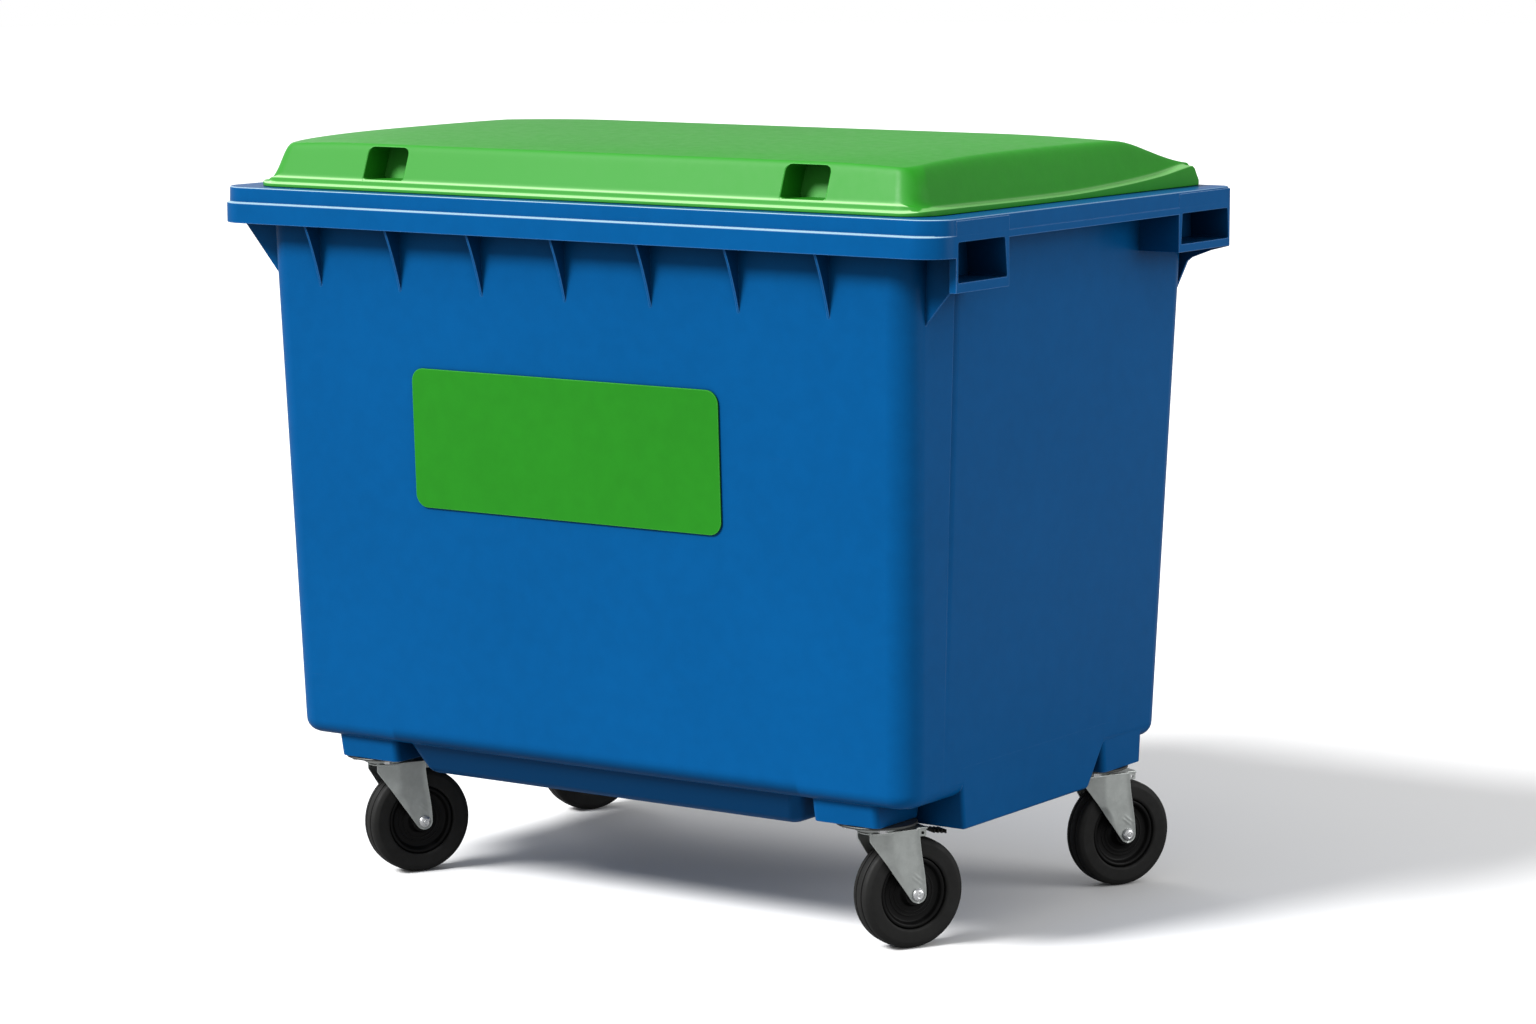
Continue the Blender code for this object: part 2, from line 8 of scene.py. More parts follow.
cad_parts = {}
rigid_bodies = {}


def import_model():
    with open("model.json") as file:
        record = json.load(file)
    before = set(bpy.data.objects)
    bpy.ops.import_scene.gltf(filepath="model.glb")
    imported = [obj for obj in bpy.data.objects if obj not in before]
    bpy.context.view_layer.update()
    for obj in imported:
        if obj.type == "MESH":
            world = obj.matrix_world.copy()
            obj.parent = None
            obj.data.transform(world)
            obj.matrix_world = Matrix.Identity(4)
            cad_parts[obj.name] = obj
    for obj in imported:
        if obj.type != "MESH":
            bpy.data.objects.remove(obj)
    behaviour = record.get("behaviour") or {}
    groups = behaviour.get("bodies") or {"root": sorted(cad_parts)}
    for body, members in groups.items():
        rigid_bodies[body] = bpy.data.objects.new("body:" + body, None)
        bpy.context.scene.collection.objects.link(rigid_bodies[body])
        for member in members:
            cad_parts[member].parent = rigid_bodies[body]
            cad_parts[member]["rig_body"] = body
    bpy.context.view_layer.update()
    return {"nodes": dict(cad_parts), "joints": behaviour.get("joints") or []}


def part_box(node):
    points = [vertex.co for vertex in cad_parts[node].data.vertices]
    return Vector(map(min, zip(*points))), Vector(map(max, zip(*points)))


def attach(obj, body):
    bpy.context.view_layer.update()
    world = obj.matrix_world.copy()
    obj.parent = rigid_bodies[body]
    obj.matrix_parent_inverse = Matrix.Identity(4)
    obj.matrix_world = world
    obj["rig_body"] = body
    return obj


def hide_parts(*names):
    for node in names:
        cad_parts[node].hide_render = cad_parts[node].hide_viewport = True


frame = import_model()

scene = bpy.context.scene
JOINTS = {j["name"]: j for j in frame["joints"]}
CORNERS = ("front_left", "front_right", "rear_left", "rear_right")

# ---- driving dimensions, from the frame ---------------------------------
hop_lo, hop_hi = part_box("hopper")
lid_lo, lid_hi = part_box("lid")
HINGE_Y, HINGE_Z = JOINTS["lid_hinge"]["pos_m"][1:]
HINGE_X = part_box("hinge_pin_right")[0].x + 0.034
RIM_HALF = hop_hi.x
RIM_FRONT = hop_lo.y
RIM_TOP = HINGE_Z + 0.001
RIM_BACK = HINGE_Y - 0.030
RIM_STEP = RIM_TOP - 0.023
BAND_FRONT = RIM_TOP - 0.053
BAND_SIDE = RIM_TOP - 0.033
WALL = 0.005
CORNER = 0.040
BELLY_LOW = hop_lo.z
FOOT_Z, FOOT = 0.2205, 0.022        # rounded foot of the walls: height and radius
GAP = 0.0003
LID_Z = RIM_TOP + GAP
LID_HALF = lid_hi.x
LID_FRONT = lid_lo.y
LID_BACK = RIM_BACK - 0.0120
LID_TOP = lid_hi.z - 0.0003
LID_WALL = 0.004
GRIPS = {-1: -0.345, 1: 0.385}      # middle of each lid grip, by side
HINGE_R = 0.013
PIN_HOLE_R = 0.0042
WAIST_Z = 0.26                      # height at which the body's outline is given
WAIST = (0.546, -0.3645, 0.3440)    # half width, front and rear there
LEAN = (0.0243, 0.0426, 0.0545)     # how much each of them grows with height
RIB_COUNT, RIB_FIRST, RIB_PITCH = 7, -0.460, 0.1485
BOSS_LOW = 0.1870
WIDE_HALF, WIDE_TOP = 0.356, 0.240  # wide part of the belly, behind the front wall
FRONT_WIDENS = -0.3714              # ahead of this the rim's band is deeper
LEG_TOP = 0.1730                    # of the fork's legs
FORK_LEAD = 0.040                   # from the fork's middle back to its axle
BRAKE_X, BRAKE_Z = 0.0525, 0.1655   # cross pin, behind the fork's middle


# ---- mesh helpers -------------------------------------------------------
def into_scene(name, data):
    ob = bpy.data.objects.new(name, data)
    scene.collection.objects.link(ob)
    return ob


def obj_from(bm, name):
    mesh = bpy.data.meshes.new(name)
    bmesh.ops.recalc_face_normals(bm, faces=bm.faces)
    bm.to_mesh(mesh)
    bm.free()
    return into_scene(name, mesh)


def bevel(bm, edges, width, segments):
    bmesh.ops.bevel(bm, geom=edges, offset=width, offset_type="OFFSET",
                    segments=segments, profile=0.5, affect="EDGES")


def upright(e):
    a, b = (v.co for v in e.verts)
    return abs(a.z - b.z) > 0.6 * (a - b).length


def plain_box(low, high, z0, z1):
    """Box with its own outline (x0, x1, y0, y1) at each end."""
    bm = bmesh.new()
    bmesh.ops.create_cube(bm, size=1.0)
    for v in bm.verts:
        x0, x1, y0, y1 = low if v.co.z < 0 else high
        v.co = Vector((x0 if v.co.x < 0 else x1, y0 if v.co.y < 0 else y1,
                       z0 if v.co.z < 0 else z1))
    return bm


def frustum(name, low, high, z0, z1, r=0.0, seg=6, foot=0.0, foot_seg=4):
    """Plain box whose uprights, and foot, are rounded."""
    bm = plain_box(low, high, z0, z1)
    if r:
        bevel(bm, [e for e in bm.edges if upright(e)], r, seg)
    if foot:
        bevel(bm, [e for e in bm.edges if all(abs(v.co.z - z0) < 1e-5 for v in e.verts)],
              foot, foot_seg)
    return obj_from(bm, name)


def soft_box(name, outline, z0, z1, r, seg=2):
    """Box with every edge rounded."""
    bm = plain_box(outline, outline, z0, z1)
    bevel(bm, list(bm.edges), r, seg)
    return obj_from(bm, name)


def axes(origin, u, v):
    """Matrix with its first two axes along u and v."""
    u = Vector(u).normalized()
    v = Vector(v).normalized()
    m = Matrix((u, v, u.cross(v))).transposed().to_4x4()
    m.translation = origin
    return m


SIDE_ON = ((0, 1, 0), (0, 0, 1))    # planes for axes(): seen from the side
FACE_ON = ((1, 0, 0), (0, 0, 1))    # and from the front


def prism(name, points, depth, place, edge=0.0, seg=2):
    """Flat outline pushed through a depth either side of its plane, edges rounded."""
    bm = bmesh.new()
    face = bm.faces.new([bm.verts.new((u, v, -depth / 2)) for u, v in points])
    out = bmesh.ops.extrude_face_region(bm, geom=[face])
    moved = [g for g in out["geom"] if isinstance(g, bmesh.types.BMVert)]
    bmesh.ops.translate(bm, verts=moved, vec=(0, 0, depth))
    if edge:
        around = [e for e in bm.edges if abs(e.verts[0].co.z - e.verts[1].co.z) < 1e-6]
        bevel(bm, around, edge, seg)
    bmesh.ops.transform(bm, verts=bm.verts, matrix=place)
    return obj_from(bm, name)


def cylinder(name, r, z0, z1, place, seg=32):
    bm = bmesh.new()
    shift = Matrix.Translation((0, 0, (z0 + z1) / 2))
    bmesh.ops.create_cone(bm, cap_ends=True, segments=seg, radius1=r, radius2=r,
                          depth=z1 - z0, matrix=place @ shift)
    return obj_from(bm, name)


def loft(name, loops, closed=False):
    """Skin through closed loops of equal count, capped, or joined end to end."""
    bm = bmesh.new()
    rings = [[bm.verts.new(p) for p in loop] for loop in loops]
    pairs = list(zip(rings, rings[1:]))
    if closed:
        pairs.append((rings[-1], rings[0]))
    n = len(rings[0])
    for a, b in pairs:
        for i in range(n):
            bm.faces.new((a[i], a[(i + 1) % n], b[(i + 1) % n], b[i]))
    if not closed:
        bm.faces.new(rings[0])
        bm.faces.new(rings[-1])
    return obj_from(bm, name)


def turned(name, profile, place, steps=96, closed=True):
    """Profile of (radius, height) points turned round the place's Z."""
    bm = bmesh.new()
    rings = []
    for k in range(steps):
        a = 2 * math.pi * k / steps
        rings.append([bm.verts.new((r * math.cos(a), r * math.sin(a), z))
                      for r, z in profile])
    m = len(profile)
    for k in range(steps):
        a, b = rings[k], rings[(k + 1) % steps]
        for i in range(m if closed else m - 1):
            j = (i + 1) % m
            bm.faces.new((a[i], a[j], b[j], b[i]))
    bmesh.ops.remove_doubles(bm, verts=bm.verts, dist=1e-6)
    bmesh.ops.transform(bm, verts=bm.verts, matrix=place)
    return obj_from(bm, name)


def rounded(points, radius, seg=3):
    """Polyline corners of (a, b) points replaced by small arcs; closed outline."""
    out = []
    n = len(points)
    for i in range(n):
        p = Vector(points[i])
        a = Vector(points[i - 1]) - p
        b = Vector(points[(i + 1) % n]) - p
        r = min(radius, 0.45 * a.length, 0.45 * b.length)
        a = a.normalized() * r
        b = b.normalized() * r
        for k in range(seg + 1):
            t = k / seg
            q = p + a * (1 - t) ** 2 + b * t ** 2
            out.append((q.x, q.y))
    return out


def join(ob, others, operation="UNION"):
    """Boolean the listed solids into ob, one after another."""
    for other in others:
        mod = ob.modifiers.new("join", "BOOLEAN")
        mod.operation = operation
        mod.solver = "EXACT"
        mod.object = other
        bpy.context.view_layer.update()
        graph = bpy.context.evaluated_depsgraph_get()
        mesh = bpy.data.meshes.new_from_object(ob.evaluated_get(graph))
        ob.modifiers.clear()
        ob.data = mesh
        bpy.data.objects.remove(other, do_unlink=True)
    return ob


def cut(ob, others):
    return join(ob, others, "DIFFERENCE")


def finish_mesh(ob, angle):
    """Weld, then smooth shading that keeps the flats flat."""
    bm = bmesh.new()
    bm.from_mesh(ob.data)
    bmesh.ops.remove_doubles(bm, verts=bm.verts, dist=1e-5)
    bmesh.ops.dissolve_degenerate(bm, dist=1e-6, edges=bm.edges)
    bmesh.ops.recalc_face_normals(bm, faces=bm.faces)
    bm.to_mesh(ob.data)
    bm.free()
    ob.data.shade_smooth()
    ob.data.set_sharp_from_angle(angle=math.radians(angle))
    mod = ob.modifiers.new("flats", "WEIGHTED_NORMAL")
    mod.mode = "FACE_AREA"
    mod.weight = 80
    mod.keep_sharp = True


def show(ob, body, slot, mat, *nodes, sharp=28):
    """Finish a visible piece: edges over the sharp angle stay crisp."""
    finish_mesh(ob, sharp)
    ob.data.materials.clear()
    ob.data.materials.append(mat)
    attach(ob, body)
    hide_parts(*nodes)


def body_of(node):
    return frame["nodes"][node]["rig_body"]


def smooth(t):
    t = min(1.0, max(0.0, t))
    return t * t * (3 - 2 * t)


# ---- materials ----------------------------------------------------------
class Nodes:
    """Short way to write a node tree."""

    def __init__(self, name):
        self.mat = bpy.data.materials.new(name)
        self.mat.use_nodes = True
        self.tree = self.mat.node_tree
        self.bsdf = self.tree.nodes["Principled BSDF"]
        self.where = self.add("ShaderNodeTexCoord").outputs["Object"]

    def add(self, kind, **values):
        node = self.tree.nodes.new(kind)
        for key, value in values.items():
            setattr(node, key, value)
        return node

    def link(self, a, b):
        self.tree.links.new(a, b)

    def noise(self, scale, detail=2.0, rough=0.5, stretch=None):
        node = self.add("ShaderNodeTexNoise")
        for key, value in (("Scale", scale), ("Detail", detail), ("Roughness", rough)):
            node.inputs[key].default_value = value
        at = self.where
        if stretch:
            mapping = self.add("ShaderNodeMapping")
            mapping.inputs["Scale"].default_value = stretch
            self.link(at, mapping.inputs["Vector"])
            at = mapping.outputs["Vector"]
        self.link(at, node.inputs["Vector"])
        return node.outputs["Fac"]

    def ramp(self, fac, stops):
        node = self.add("ShaderNodeValToRGB")
        ramp = node.color_ramp
        while len(ramp.elements) < len(stops):
            ramp.elements.new(0.5)
        for element, (at, colour) in zip(ramp.elements, stops):
            element.position = at
            element.color = (*colour, 1.0)
        self.link(fac, node.inputs["Fac"])
        return node.outputs["Color"]

    def span(self, fac, lo, hi, a=0.3, b=0.7):
        node = self.add("ShaderNodeMapRange")
        for key, value in (("From Min", a), ("From Max", b), ("To Min", lo), ("To Max", hi)):
            node.inputs[key].default_value = value
        self.link(fac, node.inputs["Value"])
        return node.outputs["Result"]

    def mix(self, fac, a, b, blend="MIX"):
        node = self.add("ShaderNodeMix", data_type="RGBA", blend_type=blend)
        for socket, value in ((node.inputs[0], fac), (node.inputs[6], a), (node.inputs[7], b)):
            if isinstance(value, (int, float)):
                socket.default_value = value
            elif isinstance(value, tuple):
                socket.default_value = (*value, 1.0)
            else:
                self.link(value, socket)
        return node.outputs[2]

    def bump(self, height, strength, distance, onto=None):
        node = self.add("ShaderNodeBump")
        node.inputs["Strength"].default_value = strength
        node.inputs["Distance"].default_value = distance
        self.link(height, node.inputs["Height"])
        if onto:
            self.link(onto, node.inputs["Normal"])
        return node.outputs["Normal"]

    def parts(self, vector):
        """X, Y and Z of a vector output."""
        node = self.add("ShaderNodeSeparateXYZ")
        self.link(vector, node.inputs[0])
        return node.outputs

    def size_of(self, value):
        node = self.add("ShaderNodeMath", operation="ABSOLUTE")
        self.link(value, node.inputs[0])
        return node.outputs[0]

    def facing(self):
        return self.parts(self.where.node.outputs["Normal"])

    def edge_mask(self, radius):
        """Rounded edges: where the surface turns within this radius."""
        soft = self.add("ShaderNodeBevel", samples=4)
        soft.inputs["Radius"].default_value = radius
        turn = self.add("ShaderNodeVectorMath", operation="DOT_PRODUCT")
        self.link(soft.outputs["Normal"], turn.inputs[0])
        self.link(self.add("ShaderNodeNewGeometry").outputs["Normal"], turn.inputs[1])
        return self.span(turn.outputs["Value"], 1.0, 0.0, 0.80, 0.985)

    def front_mask(self):
        """Slopes that face the front."""
        return self.span(self.facing()["Y"], 1.0, 0.0, -0.80, -0.40)

    def set_back_shade_mask(self):
        """Painted shade on the front of the belly, which stands back under the hopper's
        rounded foot.
        """
        place = self.parts(self.where)
        low = self.span(place["Z"], 1.0, 0.0, WIDE_TOP - 0.015, WIDE_TOP + 0.008)
        ahead = self.span(self.facing()["Y"], 1.0, 0.0, -0.85, -0.45)
        between = self.span(self.size_of(place["X"]), 1.0, 0.0,
                            WIDE_HALF + 0.001, WIDE_HALF + 0.006)
        return self.mix(1.0, self.mix(1.0, low, ahead, "MULTIPLY"), between, "MULTIPLY")

    def upward_mask(self):
        return self.span(self.facing()["Z"], 0.0, 0.85, 0.35, 0.75)

    def rim_highlight_mask(self):
        """Painted highlight on the rounds on top of the rim and, at the front, of its step."""
        _, y, z = self.parts(self.where)
        low = RIM_STEP - 0.003
        a = self.mix(1.0, self.span(z, 0.0, 1.0, low - 0.0004, low),
                     self.span(z, 1.0, 0.0, RIM_TOP - 0.0008, RIM_TOP - 0.0002), "MULTIPLY")
        front = self.span(y, 1.0, 0.0, RIM_FRONT + 0.020, RIM_FRONT + 0.060)
        above = self.span(z, 0.0, 0.5, low + 0.008, low + 0.010)
        a = self.mix(1.0, a, self.mix(1.0, front, above, "LIGHTEN"), "MULTIPLY")
        return self.mix(1.0, self.upward_mask(), a, "MULTIPLY")

    def lid_highlight_mask(self):
        """Painted highlight on the rounds along the lid's flange."""
        x, y, _ = self.parts(self.where)
        side = self.span(self.size_of(x), 0.0, 0.35, LID_HALF - 0.017, LID_HALF - 0.015)
        front = self.span(y, 1.0, 0.0, LID_FRONT + 0.0125, LID_FRONT + 0.0140)
        a = self.mix(1.0, side, front, "LIGHTEN")
        return self.mix(1.0, self.upward_mask(), a, "MULTIPLY")

    def out(self, colour, rough, normal, metal=0.0, specular=0.5):
        self.link(colour, self.bsdf.inputs["Base Color"])
        self.link(rough, self.bsdf.inputs["Roughness"])
        self.link(normal, self.bsdf.inputs["Normal"])
        self.bsdf.inputs["Metallic"].default_value = metal
        if not self.bsdf.inputs["Specular IOR Level"].is_linked:
            self.bsdf.inputs["Specular IOR Level"].default_value = specular
        return self.mat


def shade(colour, k, grey=0.0):
    """Colour scaled by k, and taken part of the way to grey."""
    mean = sum(colour) / 3
    return tuple(k * (c + (mean - c) * grey) for c in colour)


def moulded(name, colour, rough, specular, scuff=0.10, painted_shade=0.20, painted_light=None, painted_highlight=None):
    """Moulded polyethylene: flow mottling, faint orange peel, grain and hairline scuffs, with
    painted shade in crevices and a painted highlight along open rounded edges.

    The two optional pairs each give a mask and the colour that it brings: one paints shade or
    sheen, the other paints a highlight on the rounds.
    """
    n = Nodes(name)
    flow = n.noise(2.3, 3.0, 0.55)
    mottle = n.noise(38.0, 3.0, 0.6)
    base = n.ramp(flow, [(0.30, shade(colour, 0.93)), (0.70, shade(colour, 1.07))])
    base = n.mix(0.35, base, n.ramp(mottle, [(0.35, shade(colour, 0.92)),
                                             (0.65, shade(colour, 1.08))]))
    hair = n.noise(1.0, 4.0, 0.7, stretch=(9.0, 9.0, 260.0))
    where = n.noise(3.1, 2.0, 0.5)
    marks = n.mix(1.0, n.ramp(hair, [(0.66, (0, 0, 0)), (0.72, (1, 1, 1))]),
                  n.ramp(where, [(0.52, (0, 0, 0)), (0.70, (1, 1, 1))]), "MULTIPLY")
    fade = n.mix(marks, (0.0, 0.0, 0.0), (scuff, scuff, scuff))
    base = n.mix(fade, base, shade(colour, 1.6, 0.35))
    # Painted shade: darker where ambient occlusion finds nearby surfaces, in crevices, under
    # the rim and between parts.
    nook = n.add("ShaderNodeAmbientOcclusion", samples=3)
    nook.inputs["Distance"].default_value = 0.130
    base = n.mix(n.span(nook.outputs["AO"], 0.88, 0.0, 0.25, 0.88), base, shade(colour, painted_shade))
    # Optional painted shade or painted sheen, laid on by a mask.
    if painted_light:
        base = n.mix(painted_light[0](n), base, painted_light[1])
    # Painted highlight: rounded edges in open places are made lighter, and the same mask
    # raises the specular level.
    open_side = n.span(nook.outputs["AO"], 0.0, 1.0, 0.62, 0.80)
    edge = n.mix(1.0, n.edge_mask(0.0022), open_side, "MULTIPLY")
    base = n.mix(edge, base, shade(colour, 2.6, 0.22))
    # Optional painted highlight on chosen rounds.
    if painted_highlight:
        base = n.mix(painted_highlight[0](n), base, painted_highlight[1])
    n.link(n.span(edge, specular, 0.55, 0.0, 1.0), n.bsdf.inputs["Specular IOR Level"])
    wear = n.noise(70.0, 2.0, 0.6)
    gloss = n.span(wear, rough - 0.035, rough + 0.035)
    sag = n.bump(n.noise(5.5, 1.0, 0.4), 0.25, 0.0022)
    peel = n.bump(n.noise(240.0, 2.0, 0.5), 0.10, 0.00025, sag)
    grain = n.bump(n.noise(1500.0, 3.0, 0.6), 0.16, 0.00012, peel)
    return n.out(base, gloss, grain, 0.0, specular)


def zinc(name, colour, rough):
    """Galvanised pressed steel: cloudy spangle, rolling streaks and small pits, with a painted
    highlight on its rounded edges.
    """
    n = Nodes(name)
    cells = n.add("ShaderNodeTexVoronoi")
    cells.inputs["Scale"].default_value = 210.0
    n.link(n.where, cells.inputs["Vector"])
    spangle = n.ramp(cells.outputs["Color"],
                     [(0.0, shade(colour, 0.90)), (1.0, shade(colour, 1.06))])
    cloud = n.ramp(n.noise(45.0, 4.0, 0.6),
                   [(0.35, shade(colour, 0.84)), (0.65, shade(colour, 1.08))])
    # Painted highlight: rounded edges are made lighter.
    base = n.mix(n.edge_mask(0.0013), n.mix(0.55, spangle, cloud), shade(colour, 1.75))
    streak = n.noise(1.0, 3.0, 0.6, stretch=(900.0, 900.0, 40.0))
    gloss = n.span(streak, rough - 0.07, rough + 0.08)
    dents = n.bump(n.noise(180.0, 3.0, 0.6), 0.18, 0.0004)
    fine = n.bump(streak, 0.10, 0.00008, dents)
    return n.out(base, gloss, fine, 0.85, 0.5)


def rubber(name, colour):
    """Solid rubber: dusty, finely pitted."""
    n = Nodes(name)
    dust = n.noise(26.0, 4.0, 0.62)
    base = n.ramp(dust, [(0.38, colour), (0.72, shade(colour, 1.4, 0.5))])
    gloss = n.span(n.noise(90.0, 3.0, 0.6), 0.52, 0.70)
    pits = n.bump(n.noise(1100.0, 3.0, 0.6), 0.25, 0.0002)
    scuffs = n.bump(n.noise(130.0, 3.0, 0.6), 0.15, 0.0004, pits)
    return n.out(base, gloss, scuffs, 0.0, 0.20)


BLUE = (0.0010, 0.080, 0.250)
GREEN = (0.021, 0.262, 0.014)
# The body gets painted shade on the set-back front of its belly and a painted highlight on the
# rim's rounds.
m_body = moulded("blue_polyethylene", BLUE, 0.31, 0.05,
                 painted_light=(Nodes.set_back_shade_mask, shade(BLUE, 0.55)),
                 painted_highlight=(Nodes.rim_highlight_mask, (0.42, 0.60, 0.66)))
# The lid gets a painted sheen on its front-facing slopes, lighter painted shade in its
# crevices and a painted highlight on its flange.
m_lid = moulded("green_polyethylene", GREEN, 0.42, 0.15, painted_shade=0.75,
                painted_light=(Nodes.front_mask, shade(GREEN, 1.15, 0.17)),
                painted_highlight=(Nodes.lid_highlight_mask, (0.42, 0.72, 0.34)))
m_panel = moulded("green_panel", shade(GREEN, 0.82), 0.46, 0.10, 0.06)
m_zinc = zinc("zinc_plated_steel", (0.46, 0.485, 0.47), 0.42)
# Painted shade: the top plate uses a much darker copy of the zinc, for the body's shadow over
# it.
m_shaded_plate = zinc("plate_steel_painted_shade", (0.09, 0.093, 0.09), 0.50)
m_steel = zinc("bright_steel", (0.72, 0.73, 0.74), 0.28)
m_tyre = rubber("black_rubber", (0.012, 0.012, 0.0115))
m_hub = moulded("black_nylon", (0.0050, 0.0050, 0.0050), 0.42, 0.14, 0.05)


# ---- hopper -------------------------------------------------------------
def wall(z, inset=0.0):
    """Outline of the tapered body at height z, moved in by inset."""
    up = z - WAIST_Z
    half, front, rear = WAIST
    hx = half + LEAN[0] * up - inset
    return (-hx, hx, front - LEAN[1] * up + inset, rear + LEAN[2] * up - inset)


def front_y(z):
    return wall(z)[2]


GROOVE_Y = -0.273           # upright groove in each end wall
RECESS = 0.0045             # its depth at the top, fading to nothing at the foot


def arc(cx, cy, r, a0, a1, steps):
    return [(cx + r * math.cos(a0 + (a1 - a0) * k / steps),
             cy + r * math.sin(a0 + (a1 - a0) * k / steps)) for k in range(steps + 1)]


def both_sides(half, z):
    """Loop from the right half's outline, front to rear, and its mirror image."""
    left = [(-x, y) for x, y in reversed(half)]
    return [Vector((x, y, z)) for x, y in half + left]


def body_loop(z, inset=0.0, at=None):
    _, hx, yf, yr = wall(z if at is None else at, inset)
    sunk = RECESS * smooth((z - 0.25) / 0.62)
    r = CORNER - inset
    half = arc(hx - r, yf + r, r, -math.pi / 2, 0, 12)
    for ahead, part in ((-0.0065, 0.0), (-0.0045, 0.5), (-0.0025, 1.0), (0.0000, 0.85),
                        (0.0040, 0.35), (0.0090, 0.0)):
        half.append((hx - sunk * part, GROOVE_Y + ahead))
    half += arc(hx - r, yr - r, r, 0, math.pi / 2, 12)
    return both_sides(half, z)


def body_solid(name, z0, z1, inset, foot):
    loops = []
    for k in range(7):
        a = math.pi / 2 * k / 6
        z = z0 + foot * (1 - math.cos(a))
        loops.append(body_loop(z, inset + foot * (1 - math.sin(a)), z0 + foot))
    for k in range(1, 9):
        loops.append(body_loop(z0 + foot + (z1 - z0 - foot) * k / 8, inset))
    return loft(name, loops)


def outline(hx, yf, yr, rf, rr):
    """Right half of a rounded rectangle, with two points where the band changes."""
    half = arc(hx - rf, yf + rf, rf, -math.pi / 2, 0, 12)
    half += [(hx, max(y, yf + rf + y + 0.3732)) for y in (-0.3722, -0.3706)]
    return half + arc(hx - rr, yr - rr, rr, 0, math.pi / 2, 6)


def rim():
    """Rolled rim: an outer skirt with a step, a deck, and the way down into the mouth."""
    def ring(share, extra, base, rise):
        """Set in by extra and a share of the step, at rise above base or the band's edge."""
        loop = []
        for k, (x, y) in enumerate(outline(RIM_HALF, RIM_FRONT, RIM_BACK, 0.048, 0.014)):
            front = smooth((RIM_FRONT + 0.044 - y) / 0.036)
            d = share * (0.0008 + 0.0049 * front) + extra
            moved = outline(RIM_HALF - d, RIM_FRONT + d, RIM_BACK - d, 0.048 - d,
                            max(0.014 - d, 0.003))[k]
            edge = BAND_FRONT if y < FRONT_WIDENS else BAND_SIDE
            loop.append((*moved, (base or edge) + rise))
        mirror = [(-x, y, z) for x, y, z in reversed(loop)]
        return [Vector(p) for p in loop + mirror]

    def inner(z):
        return both_sides(outline(0.5625, -0.3950, 0.3590, 0.039, 0.039), z)

    step, top = RIM_STEP, RIM_TOP
    outer = [(0.0, 0.0012, None, 0.0), (0.0, 0.0003, None, 0.0004), (0.0, 0.0, None, 0.0014),
             (0.0, 0.0, step, -0.0022), (0.10, 0.0, step, -0.0010), (0.22, 0.0, step, -0.0003),
             (0.42, 0.0, step, 0.0), (0.88, 0.0, step, 0.0003), (1.0, 0.0, step, 0.0012),
             (1.0, 0.0004, top, -0.0030), (1.0, 0.0008, top, -0.0014),
             (1.0, 0.0018, top, -0.0004), (1.0, 0.0034, top, 0.0)]
    under = [(0.0, 0.0110, top, -WALL), (0.0, 0.0080, step, -0.004),
             (0.0, 0.0050, step, -0.007), (0.0, 0.0050, None, 0.0)]
    loops = [ring(*row) for row in outer] + [inner(top), inner(top - WALL)]
    return loft("rim", loops + [ring(*row) for row in under], closed=True)


def rib(x):
    """Thin upright gusset under the front band with a hollowed outer edge."""
    y0 = RIM_FRONT + WALL - 0.001
    start = Vector((y0, BAND_FRONT + 0.001))
    bend = Vector((-0.4065, 0.948))
    tip = Vector((front_y(0.898) - 0.0003, 0.898))
    curve = []
    for k in range(11):
        t = k / 10
        p = start * (1 - t) ** 2 + bend * 2 * t * (1 - t) + tip * t ** 2
        curve.append((p.x, p.y))
    back = [(front_y(0.9) + 0.003, 0.899), (front_y(1.0) + 0.003, RIM_TOP - 0.0035),
            (y0 + 0.006, RIM_TOP - 0.0035), (y0 + 0.006, RIM_STEP - 0.006),
            (y0, RIM_STEP - 0.010)]
    return prism("rib", curve + back, 0.0042, axes((x, 0, 0), *SIDE_ON), 0.0008)


def pocket(side, front):
    """Hand-hold block under the rim's end, with its web down to the body corner."""
    x0, x1 = 0.553, RIM_HALF - 0.0002
    if front:
        z0, web_y = 0.941, -0.3500
        plan = [(x0, -0.3515), (0.601, -0.3515), (0.6185, -0.3845), (x1, -0.3845),
                (x1, -0.2475), (x0, -0.2475)]
        web = [(0.552, 0.8835), (0.5560, 0.8850), (0.6045, 0.9440), (0.6100, 0.9850),
               (0.6100, 1.030), (0.552, 1.030)]
    else:
        z0, web_y = 0.953, 0.380
        plan = [(x0, 0.2275), (x1, 0.2275), (x1, 0.3825), (x0, 0.3825)]
        web = [(0.535, 0.883), (0.5420, 0.884), (0.5610, 0.9270), (0.5685, 0.9330),
               (0.600, 0.9450), (0.6292, 0.9525), (0.6292, 1.030), (0.535, 1.030)]
    plan = [(side * x, y) for x, y in rounded(plan, 0.0016, 2)]
    height = RIM_TOP - 0.003 - z0
    solid = prism("pocket", plan, height, Matrix.Translation((0, 0, z0 + height / 2)), 0.0012)
    flat = [(side * u, v) for u, v in web]
    return join(solid, [prism("web", flat, 0.005, axes((0, web_y, 0), *FACE_ON), 0.001)])


def gusset(side):
    """Plain triangle under the rim's end, where there is no hand hold."""
    web = [(0.552, 0.904), (0.5590, 0.9060), (0.6250, 0.9810), (0.6270, 0.9900),
           (0.6270, 1.030), (0.552, 1.030)]
    flat = [(side * u, v) for u, v in web]
    return prism("gusset", flat, 0.005, axes((0, -0.3620, 0), *FACE_ON), 0.001)


